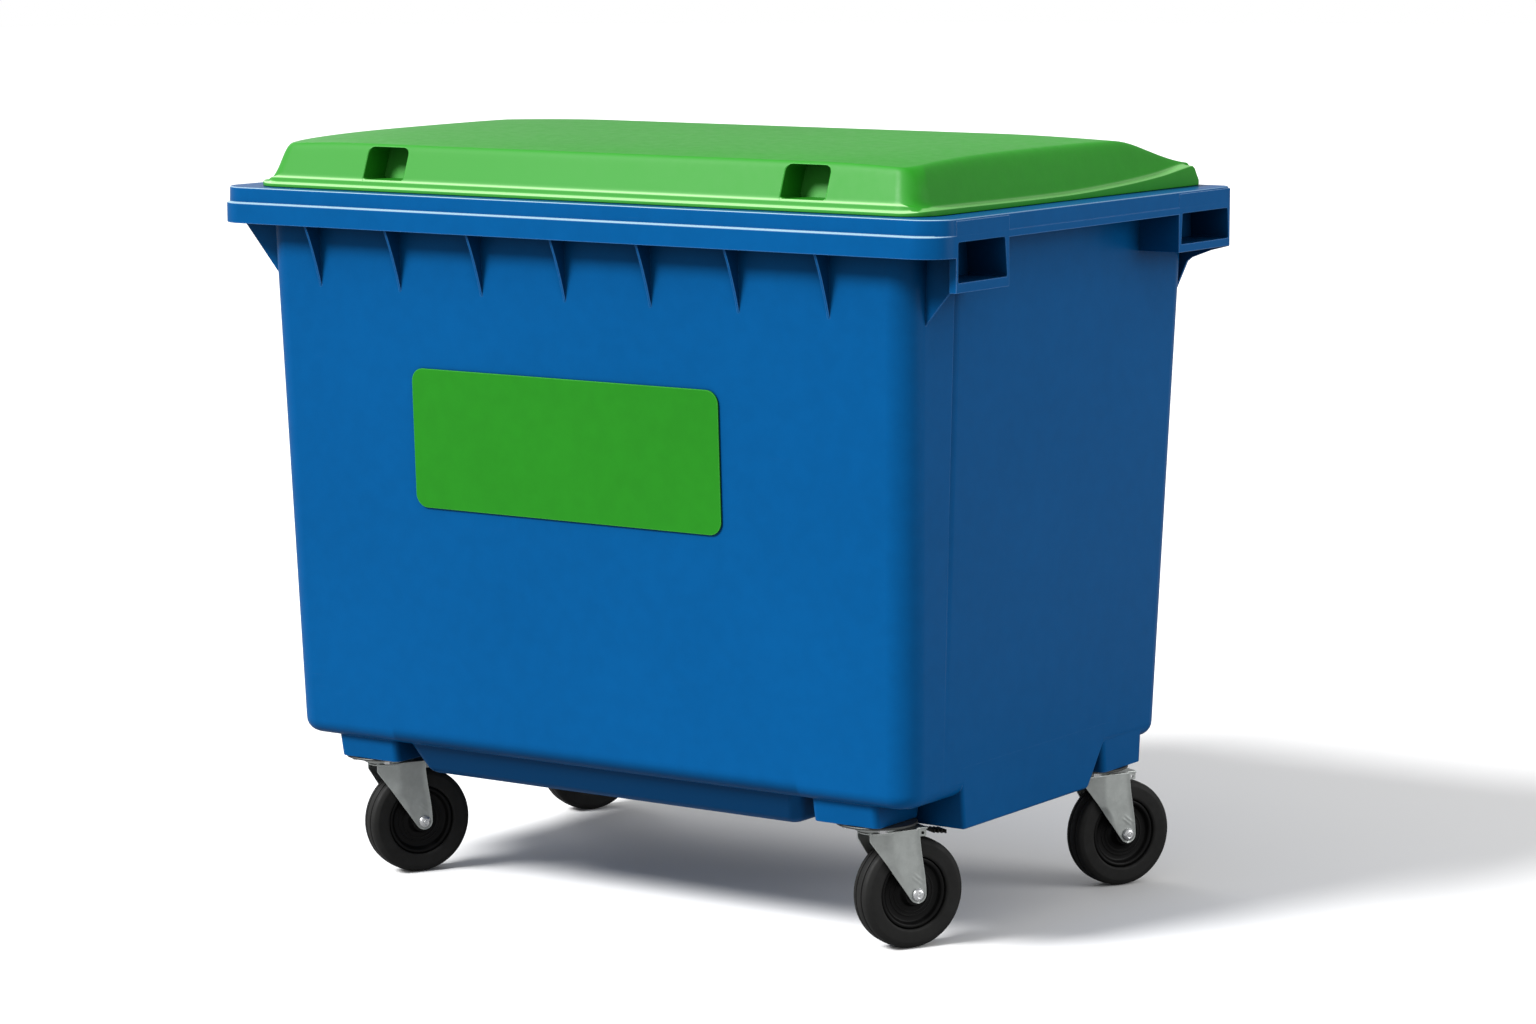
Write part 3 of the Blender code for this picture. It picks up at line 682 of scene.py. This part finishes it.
def pocket_hole(side, front):
    """Opening that widens downwards, with eased edges at its mouth."""
    if front:
        low, high, z0 = (-0.3795, -0.2530), (-0.3795, -0.2595), 0.955
    else:
        low, high, z0 = (0.2345, 0.3775), (0.2375, 0.3745), 0.965
    z1 = BAND_SIDE + 0.001
    narrow = 0.0325 if front else 0.0
    loops = []
    for depth, grow, part in ((0.0625, 0.0, 1.0), (0.0260, 0.0, 1.0), (0.0105, 0.0, 0.0),
                              (0.0014, 0.0, 0.0), (0.0007, 0.0002, 0.0), (0.0002, 0.0007, 0.0),
                              (-0.0002, 0.0016, 0.0), (-0.02, 0.0016, 0.0)):
        x = side * (RIM_HALF - depth)
        near = part * narrow - grow
        pts = [(low[0] + near, z0 - grow), (low[1] + grow, z0 - grow),
               (high[1] + grow, z1 + grow), (high[0] + near, z1 + grow)]
        loops.append([Vector((x, y, z)) for y, z in rounded(pts, 0.0035, 4)])
    return loft("hole", loops)


def ear(x):
    """Upright hinge lug behind the rim."""
    pts = arc(HINGE_Y, HINGE_Z, HINGE_R, -math.pi / 2, math.pi, 24)
    pts = [p for p in pts if p[0] > HINGE_Y - HINGE_R + 0.001 or p[1] > HINGE_Z]
    pts += [(HINGE_Y - 0.014, HINGE_Z), (RIM_BACK - 0.004, HINGE_Z),
            (RIM_BACK - 0.004, HINGE_Z - HINGE_R - 0.010)]
    return prism("ear", pts, 0.008, axes((x, 0, 0), *SIDE_ON), 0.0010)


def hopper():
    shell = body_solid("hopper_shell", FOOT_Z, RIM_TOP - 0.002, 0.0, FOOT)
    add = [frustum("deep", (-0.5445, 0.5445, -0.2180, 0.1285),
                   (-0.5461, 0.5461, -0.2300, 0.1915), BELLY_LOW, 0.262, 0.006, 4, 0.0055, 3),
           frustum("wide", (-0.332, 0.332, -0.3170, 0.110),
                   (-WIDE_HALF, WIDE_HALF, -0.3555, 0.120), 0.1724, WIDE_TOP,
                   0.017, 6, 0.013, 5)]
    for side in (-1, 1):
        for x0, x1, low, high in ((0.370, 0.479, (-0.3390, -0.2320), (-0.3520, -0.2150)),
                                  (0.436, 0.5443, (0.1730, 0.2850), (0.165, 0.290))):
            x = sorted((side * x0, side * x1))
            add.append(frustum("boss", (*x, *low), (*x, *high), BOSS_LOW, 0.250,
                               0.010, 5, 0.0015, 2))
        add.append(pocket(side, False))
    add += [pocket(1, True), gusset(-1)]
    add.append(rim())
    add += [rib(RIB_FIRST + RIB_PITCH * k) for k in range(RIB_COUNT)]
    for x in (-HINGE_X, HINGE_X):
        add += [ear(x - 0.0265), ear(x + 0.0265)]
    join(shell, add)
    deck = RIM_TOP - 0.009
    mouth = (-0.5595, 0.5595, -0.3920, 0.3560)
    holes = [body_solid("inner", FOOT_Z + WALL, deck, WALL, 0.018),
             frustum("mouth", mouth, mouth, deck - 0.004, 1.080, 0.036, 8),
             frustum("deep_well", (-0.5395, 0.5395, -0.2130, 0.1235),
                     (-0.5412, 0.5412, -0.2250, 0.1865), BELLY_LOW + WALL, 0.262,
                     0.006, 3, 0.005, 3),
             frustum("wide_well", (-0.326, 0.326, -0.3105, 0.050),
                     (-0.349, 0.349, -0.3480, 0.055), 0.1775, 0.236, 0.012, 4, 0.008, 3)]
    holes += [pocket_hole(1, True), pocket_hole(1, False), pocket_hole(-1, False)]
    for x in (-HINGE_X, HINGE_X):
        at = axes((x, HINGE_Y, HINGE_Z), *SIDE_ON)
        holes.append(cylinder("pin_hole", PIN_HOLE_R, -0.05, 0.05, at, 24))
    drain = Matrix.Translation((0, -0.05, 0))
    holes.append(cylinder("drain_hole", 0.0163, 0.16, 0.19, drain, 40))
    cut(shell, holes)
    show(shell, "bin", "body_blue", m_body, "hopper")


# ---- lid ----------------------------------------------------------------
N_ARC = 7                    # steps in half a corner
N_X = 46                     # steps along the front between its corners
N_Y = 46                     # steps along each side


def lid_loop(d):
    """Outline of the lid moved in by d: corners are met at the middle of their arcs."""
    hx, yf, yb = LID_HALF - d, LID_FRONT + d, LID_BACK - d
    rf, rb = max(0.045 - 0.45 * d, 0.018), max(0.012 - d, 0.0055)
    steps = N_X // 2
    half = [((hx - rf) * k / steps, yf) for k in range(steps + 1)]
    half += arc(hx - rf, yf + rf, rf, -math.pi / 2, 0, 2 * N_ARC)[1:]
    half += [(hx, yb - rb - (yb - rb - yf - rf) * (1 - k / N_Y) ** 1.6)
             for k in range(1, N_Y + 1)]
    half += arc(hx - rb, yb - rb, rb, 0, math.pi / 2, 2 * N_ARC)[1:]
    half += [((hx - rb) * (1 - k / steps), yb) for k in range(1, steps)]
    left = [(-x, y) for x, y in reversed(half[1:])]
    return half + [(0.0, yb)] + left


def curve_y(y, stops):
    """Smooth height through (y, z) stops (Catmull-Rom)."""
    if y <= stops[0][0]:
        return stops[0][1]
    for i in range(len(stops) - 1):
        (y0, z0), (y1, z1) = stops[i], stops[i + 1]
        if y <= y1:
            before = stops[max(i - 1, 0)]
            after = stops[min(i + 2, len(stops) - 1)]
            m0 = (z1 - before[1]) / (y1 - before[0])
            m1 = (after[1] - z0) / (after[0] - y0)
            h = y1 - y0
            t = (y - y0) / h
            return ((2 * t ** 3 - 3 * t ** 2 + 1) * z0 + (t ** 3 - 2 * t ** 2 + t) * h * m0
                    + (3 * t ** 2 - 2 * t ** 3) * z1 + (t ** 3 - t ** 2) * h * m1)
    return stops[-1][1]


# heights along y: the top along its middle, and the ledge along each side
CROWN = [(y, LID_TOP - drop) for y, drop in (
    (LID_FRONT + 0.030, 0.0115), (-0.30, 0.0060), (-0.20, 0.0025), (-0.08, 0.0008),
    (0.05, 0.0), (0.150, 0.0001), (0.190, 0.0015), (0.225, 0.0072), (0.265, 0.0195),
    (0.300, 0.0310), (0.335, 0.0405), (0.372, 0.0470))]
LEDGE = [(y, LID_Z + rise) for y, rise in (
    (-0.32, 0.0085), (-0.02, 0.0080), (0.133, 0.0125), (0.255, 0.0200), (0.325, 0.0278),
    (0.3490, 0.0300), (0.3550, 0.0268), (0.3620, 0.0165), (0.3690, 0.0092),
    (0.3765, 0.0055))]
END_DROOP = 0.0050


def top_height(x, y):
    """Crowned top whose two ends droop, except along the rear."""
    z = curve_y(y, CROWN)
    flat = 0.42 - 0.06 * smooth((y + 0.20) / 0.30)
    t = max(0.0, (abs(x) - flat) / (0.555 - flat))
    fall = smooth((0.372 - y) / 0.16)
    return z - END_DROOP * fall * min(t, 1.4) ** 1.6


def soft_min(a, b, k):
    h = max(k - abs(a - b), 0.0) / k
    return min(a, b) - h * h * k / 4


def piecewise(d, base, stops):
    """Straight lines through (d, height over base) stops, carried on beyond the last."""
    stops = [(at, base + rise) for at, rise in stops]
    for (d0, z0), (d1, z1) in zip(stops, stops[1:]):
        if d <= d1:
            return z0 + (z1 - z0) * (d - d0) / (d1 - d0)
    (d0, z0), (d1, z1) = stops[-2:]
    return z1 + (z1 - z0) * (d - d1) / (d1 - d0)


LOOP_COUNT = len(lid_loop(0.0))


def facing(i):
    """How far the loop's point i faces the front and the rear, 0 to 1 each."""
    n = LOOP_COUNT
    half = n // 2
    k = i if i <= half else n - i
    a = N_X // 2
    front = 1.0 - smooth((k - a - 2) / (2 * N_ARC - 4))
    b = a + 2 * N_ARC + N_Y
    rear = smooth((k - b) / (2 * N_ARC))
    return front, rear


def lid_height(d, i, x, y):
    """Height of the outer skin at depth d in from the edge."""
    front, rear = facing(i)
    zf = piecewise(d, LID_Z, [(0.0, 0.0050), (0.0012, 0.0056), (0.0062, 0.0064),
                              (0.0074, 0.0090), (0.0082, 0.0128), (0.0092, 0.0146),
                              (0.0112, 0.0154), (0.0122, 0.0175), (0.0300, 0.0640)])
    zs = piecewise(d, curve_y(y, LEDGE), [(0.0, -0.0008), (0.0015, 0.0), (0.0125, 0.0010),
                                          (0.0150, 0.0018), (0.0170, 0.0045),
                                          (0.0190, 0.0095), (0.0330, 0.0560)])
    zr = piecewise(d, LID_Z, [(0.0, 0.0040), (0.0020, 0.0065), (0.0045, 0.0120),
                              (0.0125, 0.0330)])
    z = front * zf + (1 - front) * zs
    z = (1 - rear) * z + rear * zr
    k = 0.010 * front + 0.034 * (1 - front)
    # near the rear the end walls shrink, so their rounding does too
    k *= 1 - 0.72 * smooth((y - 0.05) / 0.30)
    k = (1 - rear) * k + rear * 0.005
    return soft_min(z, top_height(x, y), k)


# how far in from the edge the rings of the lid's skin lie
DEPTHS = [0.0012, 0.0024, 0.0040, 0.0056, 0.0064, 0.0070, 0.0076, 0.0082, 0.0088, 0.0094,
          0.0104, 0.0114, 0.0122, 0.0132, 0.0144, 0.0154, 0.0162, 0.0172, 0.0184, 0.0196,
          0.0212, 0.0228, 0.0244, 0.0260, 0.0276, 0.0290, 0.0304, 0.0318, 0.0334, 0.0352,
          0.0372, 0.0396, 0.0424, 0.0456, 0.0500, 0.0560, 0.0640, 0.0760]


def patch(bm, ring, height):
    """Fill a ring with a grid whose corners sit at the middle of the corner arcs."""
    n = len(ring)
    kx = N_X + 2 * N_ARC
    ky = N_Y + 2 * N_ARC
    start = n - (N_X // 2 + N_ARC)
    loop = [ring[(start + k) % n] for k in range(n)]
    bottom = loop[:kx + 1]
    right = loop[kx:kx + ky + 1]
    top = list(reversed(loop[kx + ky:2 * kx + ky + 1]))
    left = [loop[0]] + list(reversed(loop[2 * kx + ky:]))
    rows = []
    for j in range(ky + 1):
        row = []
        for i in range(kx + 1):
            if j == 0:
                row.append(bottom[i])
            elif j == ky:
                row.append(top[i])
            elif i == 0:
                row.append(left[j])
            elif i == kx:
                row.append(right[j])
            else:
                u, v = i / kx, j / ky
                p = (bottom[i].co * (1 - v) + top[i].co * v + left[j].co * (1 - u)
                     + right[j].co * u - bottom[0].co * (1 - u) * (1 - v)
                     - bottom[kx].co * u * (1 - v) - top[0].co * (1 - u) * v
                     - top[kx].co * u * v)
                row.append(bm.verts.new((p.x, p.y, height(p.x, p.y))))
        rows.append(row)
    for a, b in zip(rows, rows[1:]):
        for i in range(kx):
            bm.faces.new((a[i], a[i + 1], b[i + 1], b[i]))


def lid_shell():
    """Closed shell: outer skin, lip, flat underside of the flange, and inner skin."""
    bm = bmesh.new()
    rings = []

    def ring(d, z_of):
        pts = lid_loop(d)
        rings.append([bm.verts.new((x, y, z_of(i, x, y))) for i, (x, y) in enumerate(pts)])

    for d in reversed(DEPTHS):
        ring(d, lambda i, x, y: lid_height(d, i, x, y))
    ring(0.0004, lambda i, x, y: lid_height(0.0004, i, x, y) - 0.0004)
    ring(0.0, lambda i, x, y: lid_height(0.0, i, x, y) - 0.0012)
    ring(0.0, lambda i, x, y: LID_Z + 0.0012)
    ring(0.0004, lambda i, x, y: LID_Z + 0.0004)
    for d in (0.0012, 0.0190, 0.0205):
        ring(d, lambda i, x, y: LID_Z)
    for d in DEPTHS:
        if d > 0.0206:
            ring(d, lambda i, x, y: max(LID_Z + 0.0015,
                                        lid_height(d - 0.0042, i, x, y) - 0.0036))
    n = len(rings[0])
    for a, b in zip(rings, rings[1:]):
        for i in range(n):
            bm.faces.new((a[i], a[(i + 1) % n], b[(i + 1) % n], b[i]))
    patch(bm, rings[0], top_height)
    patch(bm, rings[-1], lambda x, y: top_height(x, y) - LID_WALL + 0.0004)
    return obj_from(bm, "lid_shell")


SLOPE = 0.0178 / 0.0465      # run over rise of the lid's front face


def grip_solid(x0, grow, depths):
    """Rounded block pushed into the sloping front; depths gives (depth, extra size)."""
    z0, z1 = LID_Z + 0.0162, LID_Z + 0.0625
    foot_y = LID_FRONT + 0.0118
    loops = []
    for depth, extra in depths:
        g = grow + extra
        half = 0.0365 + g
        lo, hi = z0 - g, z1 + g
        r = 0.010 + g
        pts = [(-half + 0.003, lo), (half - 0.003, lo), (half, lo + 0.003)]
        pts += arc(half - r, hi - r, r, 0, math.pi / 2, 6)
        pts += arc(-half + r, hi - r, r, math.pi / 2, math.pi, 6)
        pts.append((-half, lo + 0.003))
        loops.append([Vector((x0 + u, foot_y + depth + (v - z0) * SLOPE, v))
                      for u, v in pts])
    return loft("grip", loops)


def lid():
    ob = lid_shell()
    ease = [(-0.020, 0.0022), (0.0, 0.0022), (0.0003, 0.0012), (0.0009, 0.0005),
            (0.0020, 0.0), (0.0500, 0.0)]
    for side in (-1, 1):
        x = GRIPS[side]
        join(ob, [grip_solid(x, 0.0036, [(0.0035, 0.0), (0.0536, 0.0)])])
        cut(ob, [grip_solid(x, 0.0, ease)])
        hx = side * HINGE_X
        pts = arc(HINGE_Y, HINGE_Z, HINGE_R, -math.pi * 0.98, math.pi * 0.62, 30)
        pts += [(LID_BACK - 0.004, LID_Z + 0.008), (LID_BACK - 0.022, LID_Z + 0.008),
                (LID_BACK - 0.022, LID_Z)]
        arm = prism("arm", pts, 0.044, axes((hx, 0, 0), *SIDE_ON), 0.0012)
        join(ob, [arm])
        at = axes((hx, HINGE_Y, HINGE_Z), *SIDE_ON)
        cut(ob, [cylinder("pin_hole", PIN_HOLE_R, -0.05, 0.05, at, 24)])
    show(ob, "lid", "lid_green", m_lid, "lid", sharp=40)


# ---- panel --------------------------------------------------------------
def front_panel():
    lo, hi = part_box("front_panel")
    lean = math.atan(LEAN[1])
    mid = (lo + hi) / 2
    at = axes((mid.x, mid.y, mid.z), (1, 0, 0), (0, -math.sin(lean), math.cos(lean)))
    hw, hh = (hi.x - lo.x) / 2, (hi.z - lo.z) / 2
    r = 0.020
    pts = []
    for k, (sx, sz) in enumerate(((1, 1), (-1, 1), (-1, -1), (1, -1))):
        a = k * math.pi / 2
        pts += arc(sx * (hw - r), sz * (hh - r), r, a, a + math.pi / 2, 10)
    ob = prism("sign_panel", pts, 0.0029, at, 0.0010, 3)
    show(ob, "bin", "lid_green", m_panel, "front_panel")


# ---- casters ------------------------------------------------------------
def heading(corner):
    """Matrix at a caster's swivel axis on the floor, X towards its trailing side."""
    pivot = Vector(JOINTS["swivel_" + corner]["pos_m"])
    axle = Vector(JOINTS["wheel_spin_" + corner]["pos_m"])
    back = Vector((axle.x - pivot.x, axle.y - pivot.y, 0.0))
    trail = back.length
    at = axes((pivot.x, pivot.y, 0.0), back, Vector((0, 0, 1)).cross(back))
    return at, trail, axle.z


def leg(at, side, shift, axle_z):
    """Pressed fork leg: leading edge folded in, rolled trailing edge, rounded foot."""
    top, r = LEG_TOP, 0.0125
    bottom = axle_z - r
    cx = FORK_LEAD
    rows, cols = 44, 22

    def edges(z):
        if z > 0.0735:
            lead = -0.031 if z > 0.160 else -0.031 + 0.060 * (0.160 - z) / 0.0865
        else:
            lead = cx - math.sqrt(max(r * r - (z - axle_z) ** 2, 0.0))
        if z > 0.080:
            trail = 0.0525 - 0.0105 * smooth((z - 0.080) / 0.093)
        else:
            trail = cx + math.sqrt(max(r * r - (z - axle_z) ** 2, 0.0))
        return lead, trail

    def fold(s, z):
        """How far the sheet is pressed away from its flat, outwards positive."""
        crease = max(-0.0005 + 0.0016 * smooth((0.16 - z) / 0.03),
                     edges(z)[0] + 0.0085 * smooth((z - 0.085) / 0.03))
        t = crease - s
        off = -0.34 * (math.sqrt(t * t + 1.2e-6) + t) / 2
        lip = s - (edges(z)[1] - 0.0045)
        off += 0.30 * (math.sqrt(lip * lip + 6e-7) + lip) / 2
        across = (s - cx) * 0.62 + (z - axle_z - 0.021) * 0.78
        along = abs((s - cx) * 0.78 - (z - axle_z - 0.021) * 0.62)
        fade = smooth((0.0105 - along) / 0.003)
        for centre in (-0.0022, 0.0028):
            off += 0.0006 * fade * math.exp(-((across - centre) / 0.0009) ** 2)
        return off

    bm = bmesh.new()
    thick = 0.0024
    skins = []
    for face in (0.5, -0.5):
        grid = []
        for j in range(rows + 1):
            z = max(top - (top - bottom) * j / rows, bottom + 1e-4)
            lead, trail = edges(z)
            row = []
            for i in range(cols + 1):
                s = lead + (trail - lead) * i / cols
                y = side * (0.0280 + fold(s, z) + face * thick)
                row.append(bm.verts.new(at @ Vector((s + shift, y, z))))
            grid.append(row)
        skins.append(grid)
    a, b = skins
    for grid in skins:
        for j in range(rows):
            for i in range(cols):
                bm.faces.new((grid[j][i], grid[j][i + 1], grid[j + 1][i + 1], grid[j + 1][i]))
    for j in range(rows):
        for i in (0, cols):
            bm.faces.new((a[j][i], a[j + 1][i], b[j + 1][i], b[j][i]))
    for i in range(cols):
        for j in (0, rows):
            bm.faces.new((a[j][i], a[j][i + 1], b[j][i + 1], b[j][i]))
    return obj_from(bm, "leg")


def fork(corner):
    at, trail, axle_z = heading(corner)
    shift = trail - FORK_LEAD
    half = [(-0.0305, -0.0255), (-0.0255, -0.0290), (0.0415, -0.0290), (0.0415, -0.0215),
            (0.0600, -0.0200)]
    crown = [(shift + u, v) for u, v in half] + [(shift + u, -v) for u, v in reversed(half)]
    place = at @ Matrix.Translation((0, 0, 0.17175))
    ob = prism("fork_shell_" + corner, crown, 0.0034, place, 0.0007)
    add = [turned("cup", [(0.0001, 0.1690), (0.0240, 0.1690), (0.0262, 0.1700),
                          (0.0262, 0.1712), (0.0001, 0.1712)], at, 48)]
    for side in (-1, 1):
        add.append(leg(at, side, shift, axle_z))
        y = side * 0.0185
        add.append(soft_box("lug", (shift + 0.0465, shift + 0.0585, y - 0.0015, y + 0.0015),
                            0.1605, 0.1715, 0.0006))
        add[-1].data.transform(at)
    join(ob, add)
    across = at @ axes((trail, 0, axle_z), (0, 0, 1), (1, 0, 0))
    pivot = at @ axes((shift + BRAKE_X, 0, BRAKE_Z), (0, 0, 1), (1, 0, 0))
    cut(ob, [cylinder("kingpin_hole", 0.0064, 0.160, 0.180, at, 28),
             cylinder("axle_hole", 0.0063, -0.05, 0.05, across, 28),
             cylinder("brake_hole", 0.0024, -0.05, 0.05, pivot, 16)])
    show(ob, "caster_" + corner, "zinc_steel", m_zinc, "fork_" + corner, sharp=35)


def caster(corner):
    at, trail, axle_z = heading(corner)
    plate_lo, plate_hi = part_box("top_plate_" + corner)
    z0, z1 = plate_lo.z, plate_hi.z
    r = (plate_hi.x - plate_lo.x) / 2
    disc = turned("top_disc_" + corner,
                  [(0.0066, z0), (r - 0.0120, z0), (r - 0.0100, z0 + 0.0003),
                   (r - 0.0022, z0 + 0.0003), (r - 0.0009, z0 + 0.0007),
                   (r - 0.0002, z0 + 0.0015), (r - 0.0002, z1 - 0.0012),
                   (r - 0.0008, z1 - 0.0004), (r - 0.0018, z1), (0.0066, z1)], at, 96)
    show(disc, body_of("top_plate_" + corner), "zinc_steel", m_shaded_plate, "top_plate_" + corner)
    lo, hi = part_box("ball_race_" + corner)
    rr = (hi.x - lo.x) / 2
    race = turned("race_ring_" + corner,
                  [(0.0085, lo.z), (0.0295, lo.z), (0.0312, lo.z + 0.0006),
                   (rr - 0.0006, lo.z + 0.0030), (rr, lo.z + 0.0040),
                   (rr - 0.0001, lo.z + 0.0050), (rr - 0.0014, lo.z + 0.0056),
                   (rr - 0.0014, lo.z + 0.0062), (rr - 0.0002, lo.z + 0.0066),
                   (rr - 0.0008, hi.z - 0.0010), (rr - 0.0022, hi.z), (0.0085, hi.z)], at, 72)
    show(race, body_of("ball_race_" + corner), "zinc_steel", m_zinc, "ball_race_" + corner)
    fork(corner)

    axle = at @ axes((trail, 0, axle_z), (0, 0, -1), (1, 0, 0))
    wheel = "wheel_" + corner
    tyre(corner, axle, wheel, axle_z)
    centre(corner, axle, wheel)
    node = "axle_bolt_" + corner
    pin = turned("axle_pin_" + corner,
                 [(0.0, -0.0374), (0.0046, -0.0374), (0.0056, -0.0366), (0.0058, 0.0300),
                  (0.0092, 0.0301), (0.0094, 0.0312), (0.0086, 0.0330), (0.0066, 0.0344),
                  (0.0048, 0.0348), (0.0042, 0.0343), (0.0030, 0.0343), (0.0024, 0.0350),
                  (0.0, 0.0352)], axle, 40, closed=False)
    show(pin, body_of(node), "bright_steel", m_steel, node, sharp=40)


def both_faces(half):
    """Wheel profile from one face's (radius, distance from the middle) points."""
    return [(r, -w) for r, w in half] + [(r, w) for r, w in reversed(half)]


def tyre(corner, axle, wheel, radius):
    """Solid tyre: three tread bands parted by two grooves, stepped side walls."""
    half = [(radius - d, w) for d, w in (
        (0.0275, 0.0178), (0.0262, 0.0192), (0.0240, 0.0199), (0.0100, 0.0200),
        (0.0080, 0.0196), (0.0036, 0.0178), (0.0016, 0.0158), (0.0007, 0.0130),
        (0.0005, 0.0092), (0.0008, 0.0086), (0.0030, 0.0080), (0.0034, 0.0072),
        (0.0030, 0.0064), (0.0006, 0.0058), (0.0001, 0.0048), (0.0, 0.0016))]
    ob = turned("tyre_ring_" + corner, both_faces(half), axle, 120)
    show(ob, wheel, "tyre_rubber", m_tyre, "tyre_" + corner, sharp=40)


def centre(corner, axle, wheel):
    """Moulded wheel centre: rim lip, dished web with raised rings, and hub."""
    half = [(0.0093, 0.0230), (0.0100, 0.0235), (0.0150, 0.0235), (0.0160, 0.0230),
            (0.0168, 0.0185), (0.0190, 0.0130), (0.0215, 0.0108), (0.0262, 0.0100),
            (0.0270, 0.0108), (0.0288, 0.0108), (0.0296, 0.0098), (0.0325, 0.0096),
            (0.0333, 0.0103), (0.0346, 0.0103), (0.0354, 0.0094), (0.0412, 0.0092),
            (0.0432, 0.0104), (0.0450, 0.0138), (0.0462, 0.0156), (0.0480, 0.0163),
            (0.0500, 0.0160), (0.0512, 0.0150), (0.0516, 0.0135), (0.0521, 0.0130)]
    ob = turned("wheel_disc_" + corner, both_faces(half), axle, 96)
    show(ob, wheel, "hub_black", m_hub, "wheel_centre_" + corner, sharp=40)


def pedal(corner):
    """Brake lever: ribbed foot pad on two cheeks round its cross pin."""
    at, trail, _ = heading(corner)
    shift = trail - FORK_LEAD
    pts = [(0.0500, 0.1625), (0.0700, 0.1600), (0.0980, 0.1568), (0.1005, 0.1600),
           (0.0975, 0.1634), (0.0700, 0.1672), (0.0520, 0.1690)]
    pts = [(s + shift, z) for s, z in rounded(pts, 0.0016, 3)]
    place = at @ axes((0, 0, 0), *FACE_ON)
    ob = prism("pedal_pad_" + corner, pts, 0.0298, place, 0.0012)
    pivot = at @ axes((shift + BRAKE_X, 0, BRAKE_Z), (0, 0, 1), (1, 0, 0))
    add = [cylinder("sleeve", 0.0035, -0.0162, 0.0162, pivot, 28),
           cylinder("cross_pin", 0.0021, -0.0210, 0.0210, pivot, 20)]
    for k in range(4):
        s = shift + 0.0760 + 0.0062 * k
        bar = soft_box("bar", (s - 0.0012, s + 0.0012, -0.0125, 0.0125),
                       0.1612 - 0.0008 * k, 0.1668 - 0.0008 * k, 0.0006)
        bar.data.transform(at)
        add.append(bar)
    join(ob, add)
    show(ob, "brake_pedal_" + corner, "hub_black", m_hub, "brake_pedal_" + corner, sharp=35)


hopper()
lid()
front_panel()
for name in CORNERS:
    caster(name)
    if name.startswith("front"):
        pedal(name)

FINISH = {"hinge_pin": m_steel, "drain_plug": m_hub, "kingpin": m_steel, "axle_nut": m_steel,
          "bush": m_steel, "mount_bolt": m_steel}
for name, node in frame["nodes"].items():
    for prefix, mat in FINISH.items():
        if name.startswith(prefix):
            node.data.materials.clear()
            node.data.materials.append(mat)


# ---- stage --------------------------------------------------------------
CAMERA_PLACE = Vector((3.70736, -5.38372, 1.48618))
CAMERA_AIM = Vector((0.081, -0.0215, 0.5617))
CAMERA_LENS = 103.61                # millimetres on a 36 mm sensor
CAMERA_ROLL = -0.10                 # degrees
LAMPS = (("top", (-0.4, -0.9, 4.8), 2.0, 6.0),      # name, place, size, watts
         ("side", (4.6, 1.3, 1.7), 2.4, 72.0),
         ("rear", (-4.6, 2.6, 3.4), 2.2, 32.0))
KEY_STRENGTH = 4.7
KEY_ANGLE = 18                      # degrees
KEY_DIRECTION = (0.34, 0.68, -0.66)


def stage():
    bm = bmesh.new()
    bmesh.ops.create_circle(bm, cap_ends=True, segments=96, radius=40.0)
    floor = obj_from(bm, "floor")
    n = Nodes("floor_paper")
    n.bsdf.inputs["Roughness"].default_value = 0.95
    n.bsdf.inputs["Specular IOR Level"].default_value = 0.0
    seen = n.add("ShaderNodeLightPath").outputs["Is Camera Ray"]
    n.link(n.mix(seen, (0.30, 0.30, 0.30), (0.92, 0.92, 0.92)), n.bsdf.inputs["Base Color"])
    floor.data.materials.append(n.mat)

    world = bpy.data.worlds.new("studio")
    scene.world = world
    world.use_nodes = True
    tree = world.node_tree
    back = tree.nodes["Background"]
    seen = tree.nodes.new("ShaderNodeBackground")
    for node, strength in ((seen, 1.0), (back, 0.55)):
        node.inputs["Color"].default_value = (1.0, 1.0, 1.0, 1.0)
        node.inputs["Strength"].default_value = strength
    path = tree.nodes.new("ShaderNodeLightPath")
    mix = tree.nodes.new("ShaderNodeMixShader")
    tree.links.new(path.outputs["Is Camera Ray"], mix.inputs[0])
    tree.links.new(back.outputs[0], mix.inputs[1])
    tree.links.new(seen.outputs[0], mix.inputs[2])
    tree.links.new(mix.outputs[0], tree.nodes["World Output"].inputs["Surface"])

    for label, at, size, watts in LAMPS:
        lamp = bpy.data.lights.new(label, "AREA")
        lamp.shape = "SQUARE"
        lamp.size = size
        lamp.energy = watts
        ob = into_scene(label, lamp)
        ob.location = at
        aim = Vector((0, 0, 0.6)) - Vector(at)
        ob.rotation_euler = aim.to_track_quat("-Z", "Y").to_euler()
    lamp = bpy.data.lights.new("key", "SUN")
    lamp.energy = KEY_STRENGTH
    lamp.angle = math.radians(KEY_ANGLE)
    ob = into_scene("key", lamp)
    ob.rotation_euler = Vector(KEY_DIRECTION).to_track_quat("-Z", "Y").to_euler()
    scene.view_settings.view_transform = "Standard"


def camera():
    data = bpy.data.cameras.new("camera")
    ob = into_scene("camera", data)
    data.sensor_width = 36.0
    data.lens = CAMERA_LENS
    look = (CAMERA_AIM - CAMERA_PLACE).to_track_quat("-Z", "Y")
    roll = Matrix.Rotation(math.radians(CAMERA_ROLL), 3, "Z").to_quaternion()
    ob.rotation_mode = "QUATERNION"
    ob.rotation_quaternion = look @ roll
    ob.location = CAMERA_PLACE
    scene.camera = ob


stage()
camera()
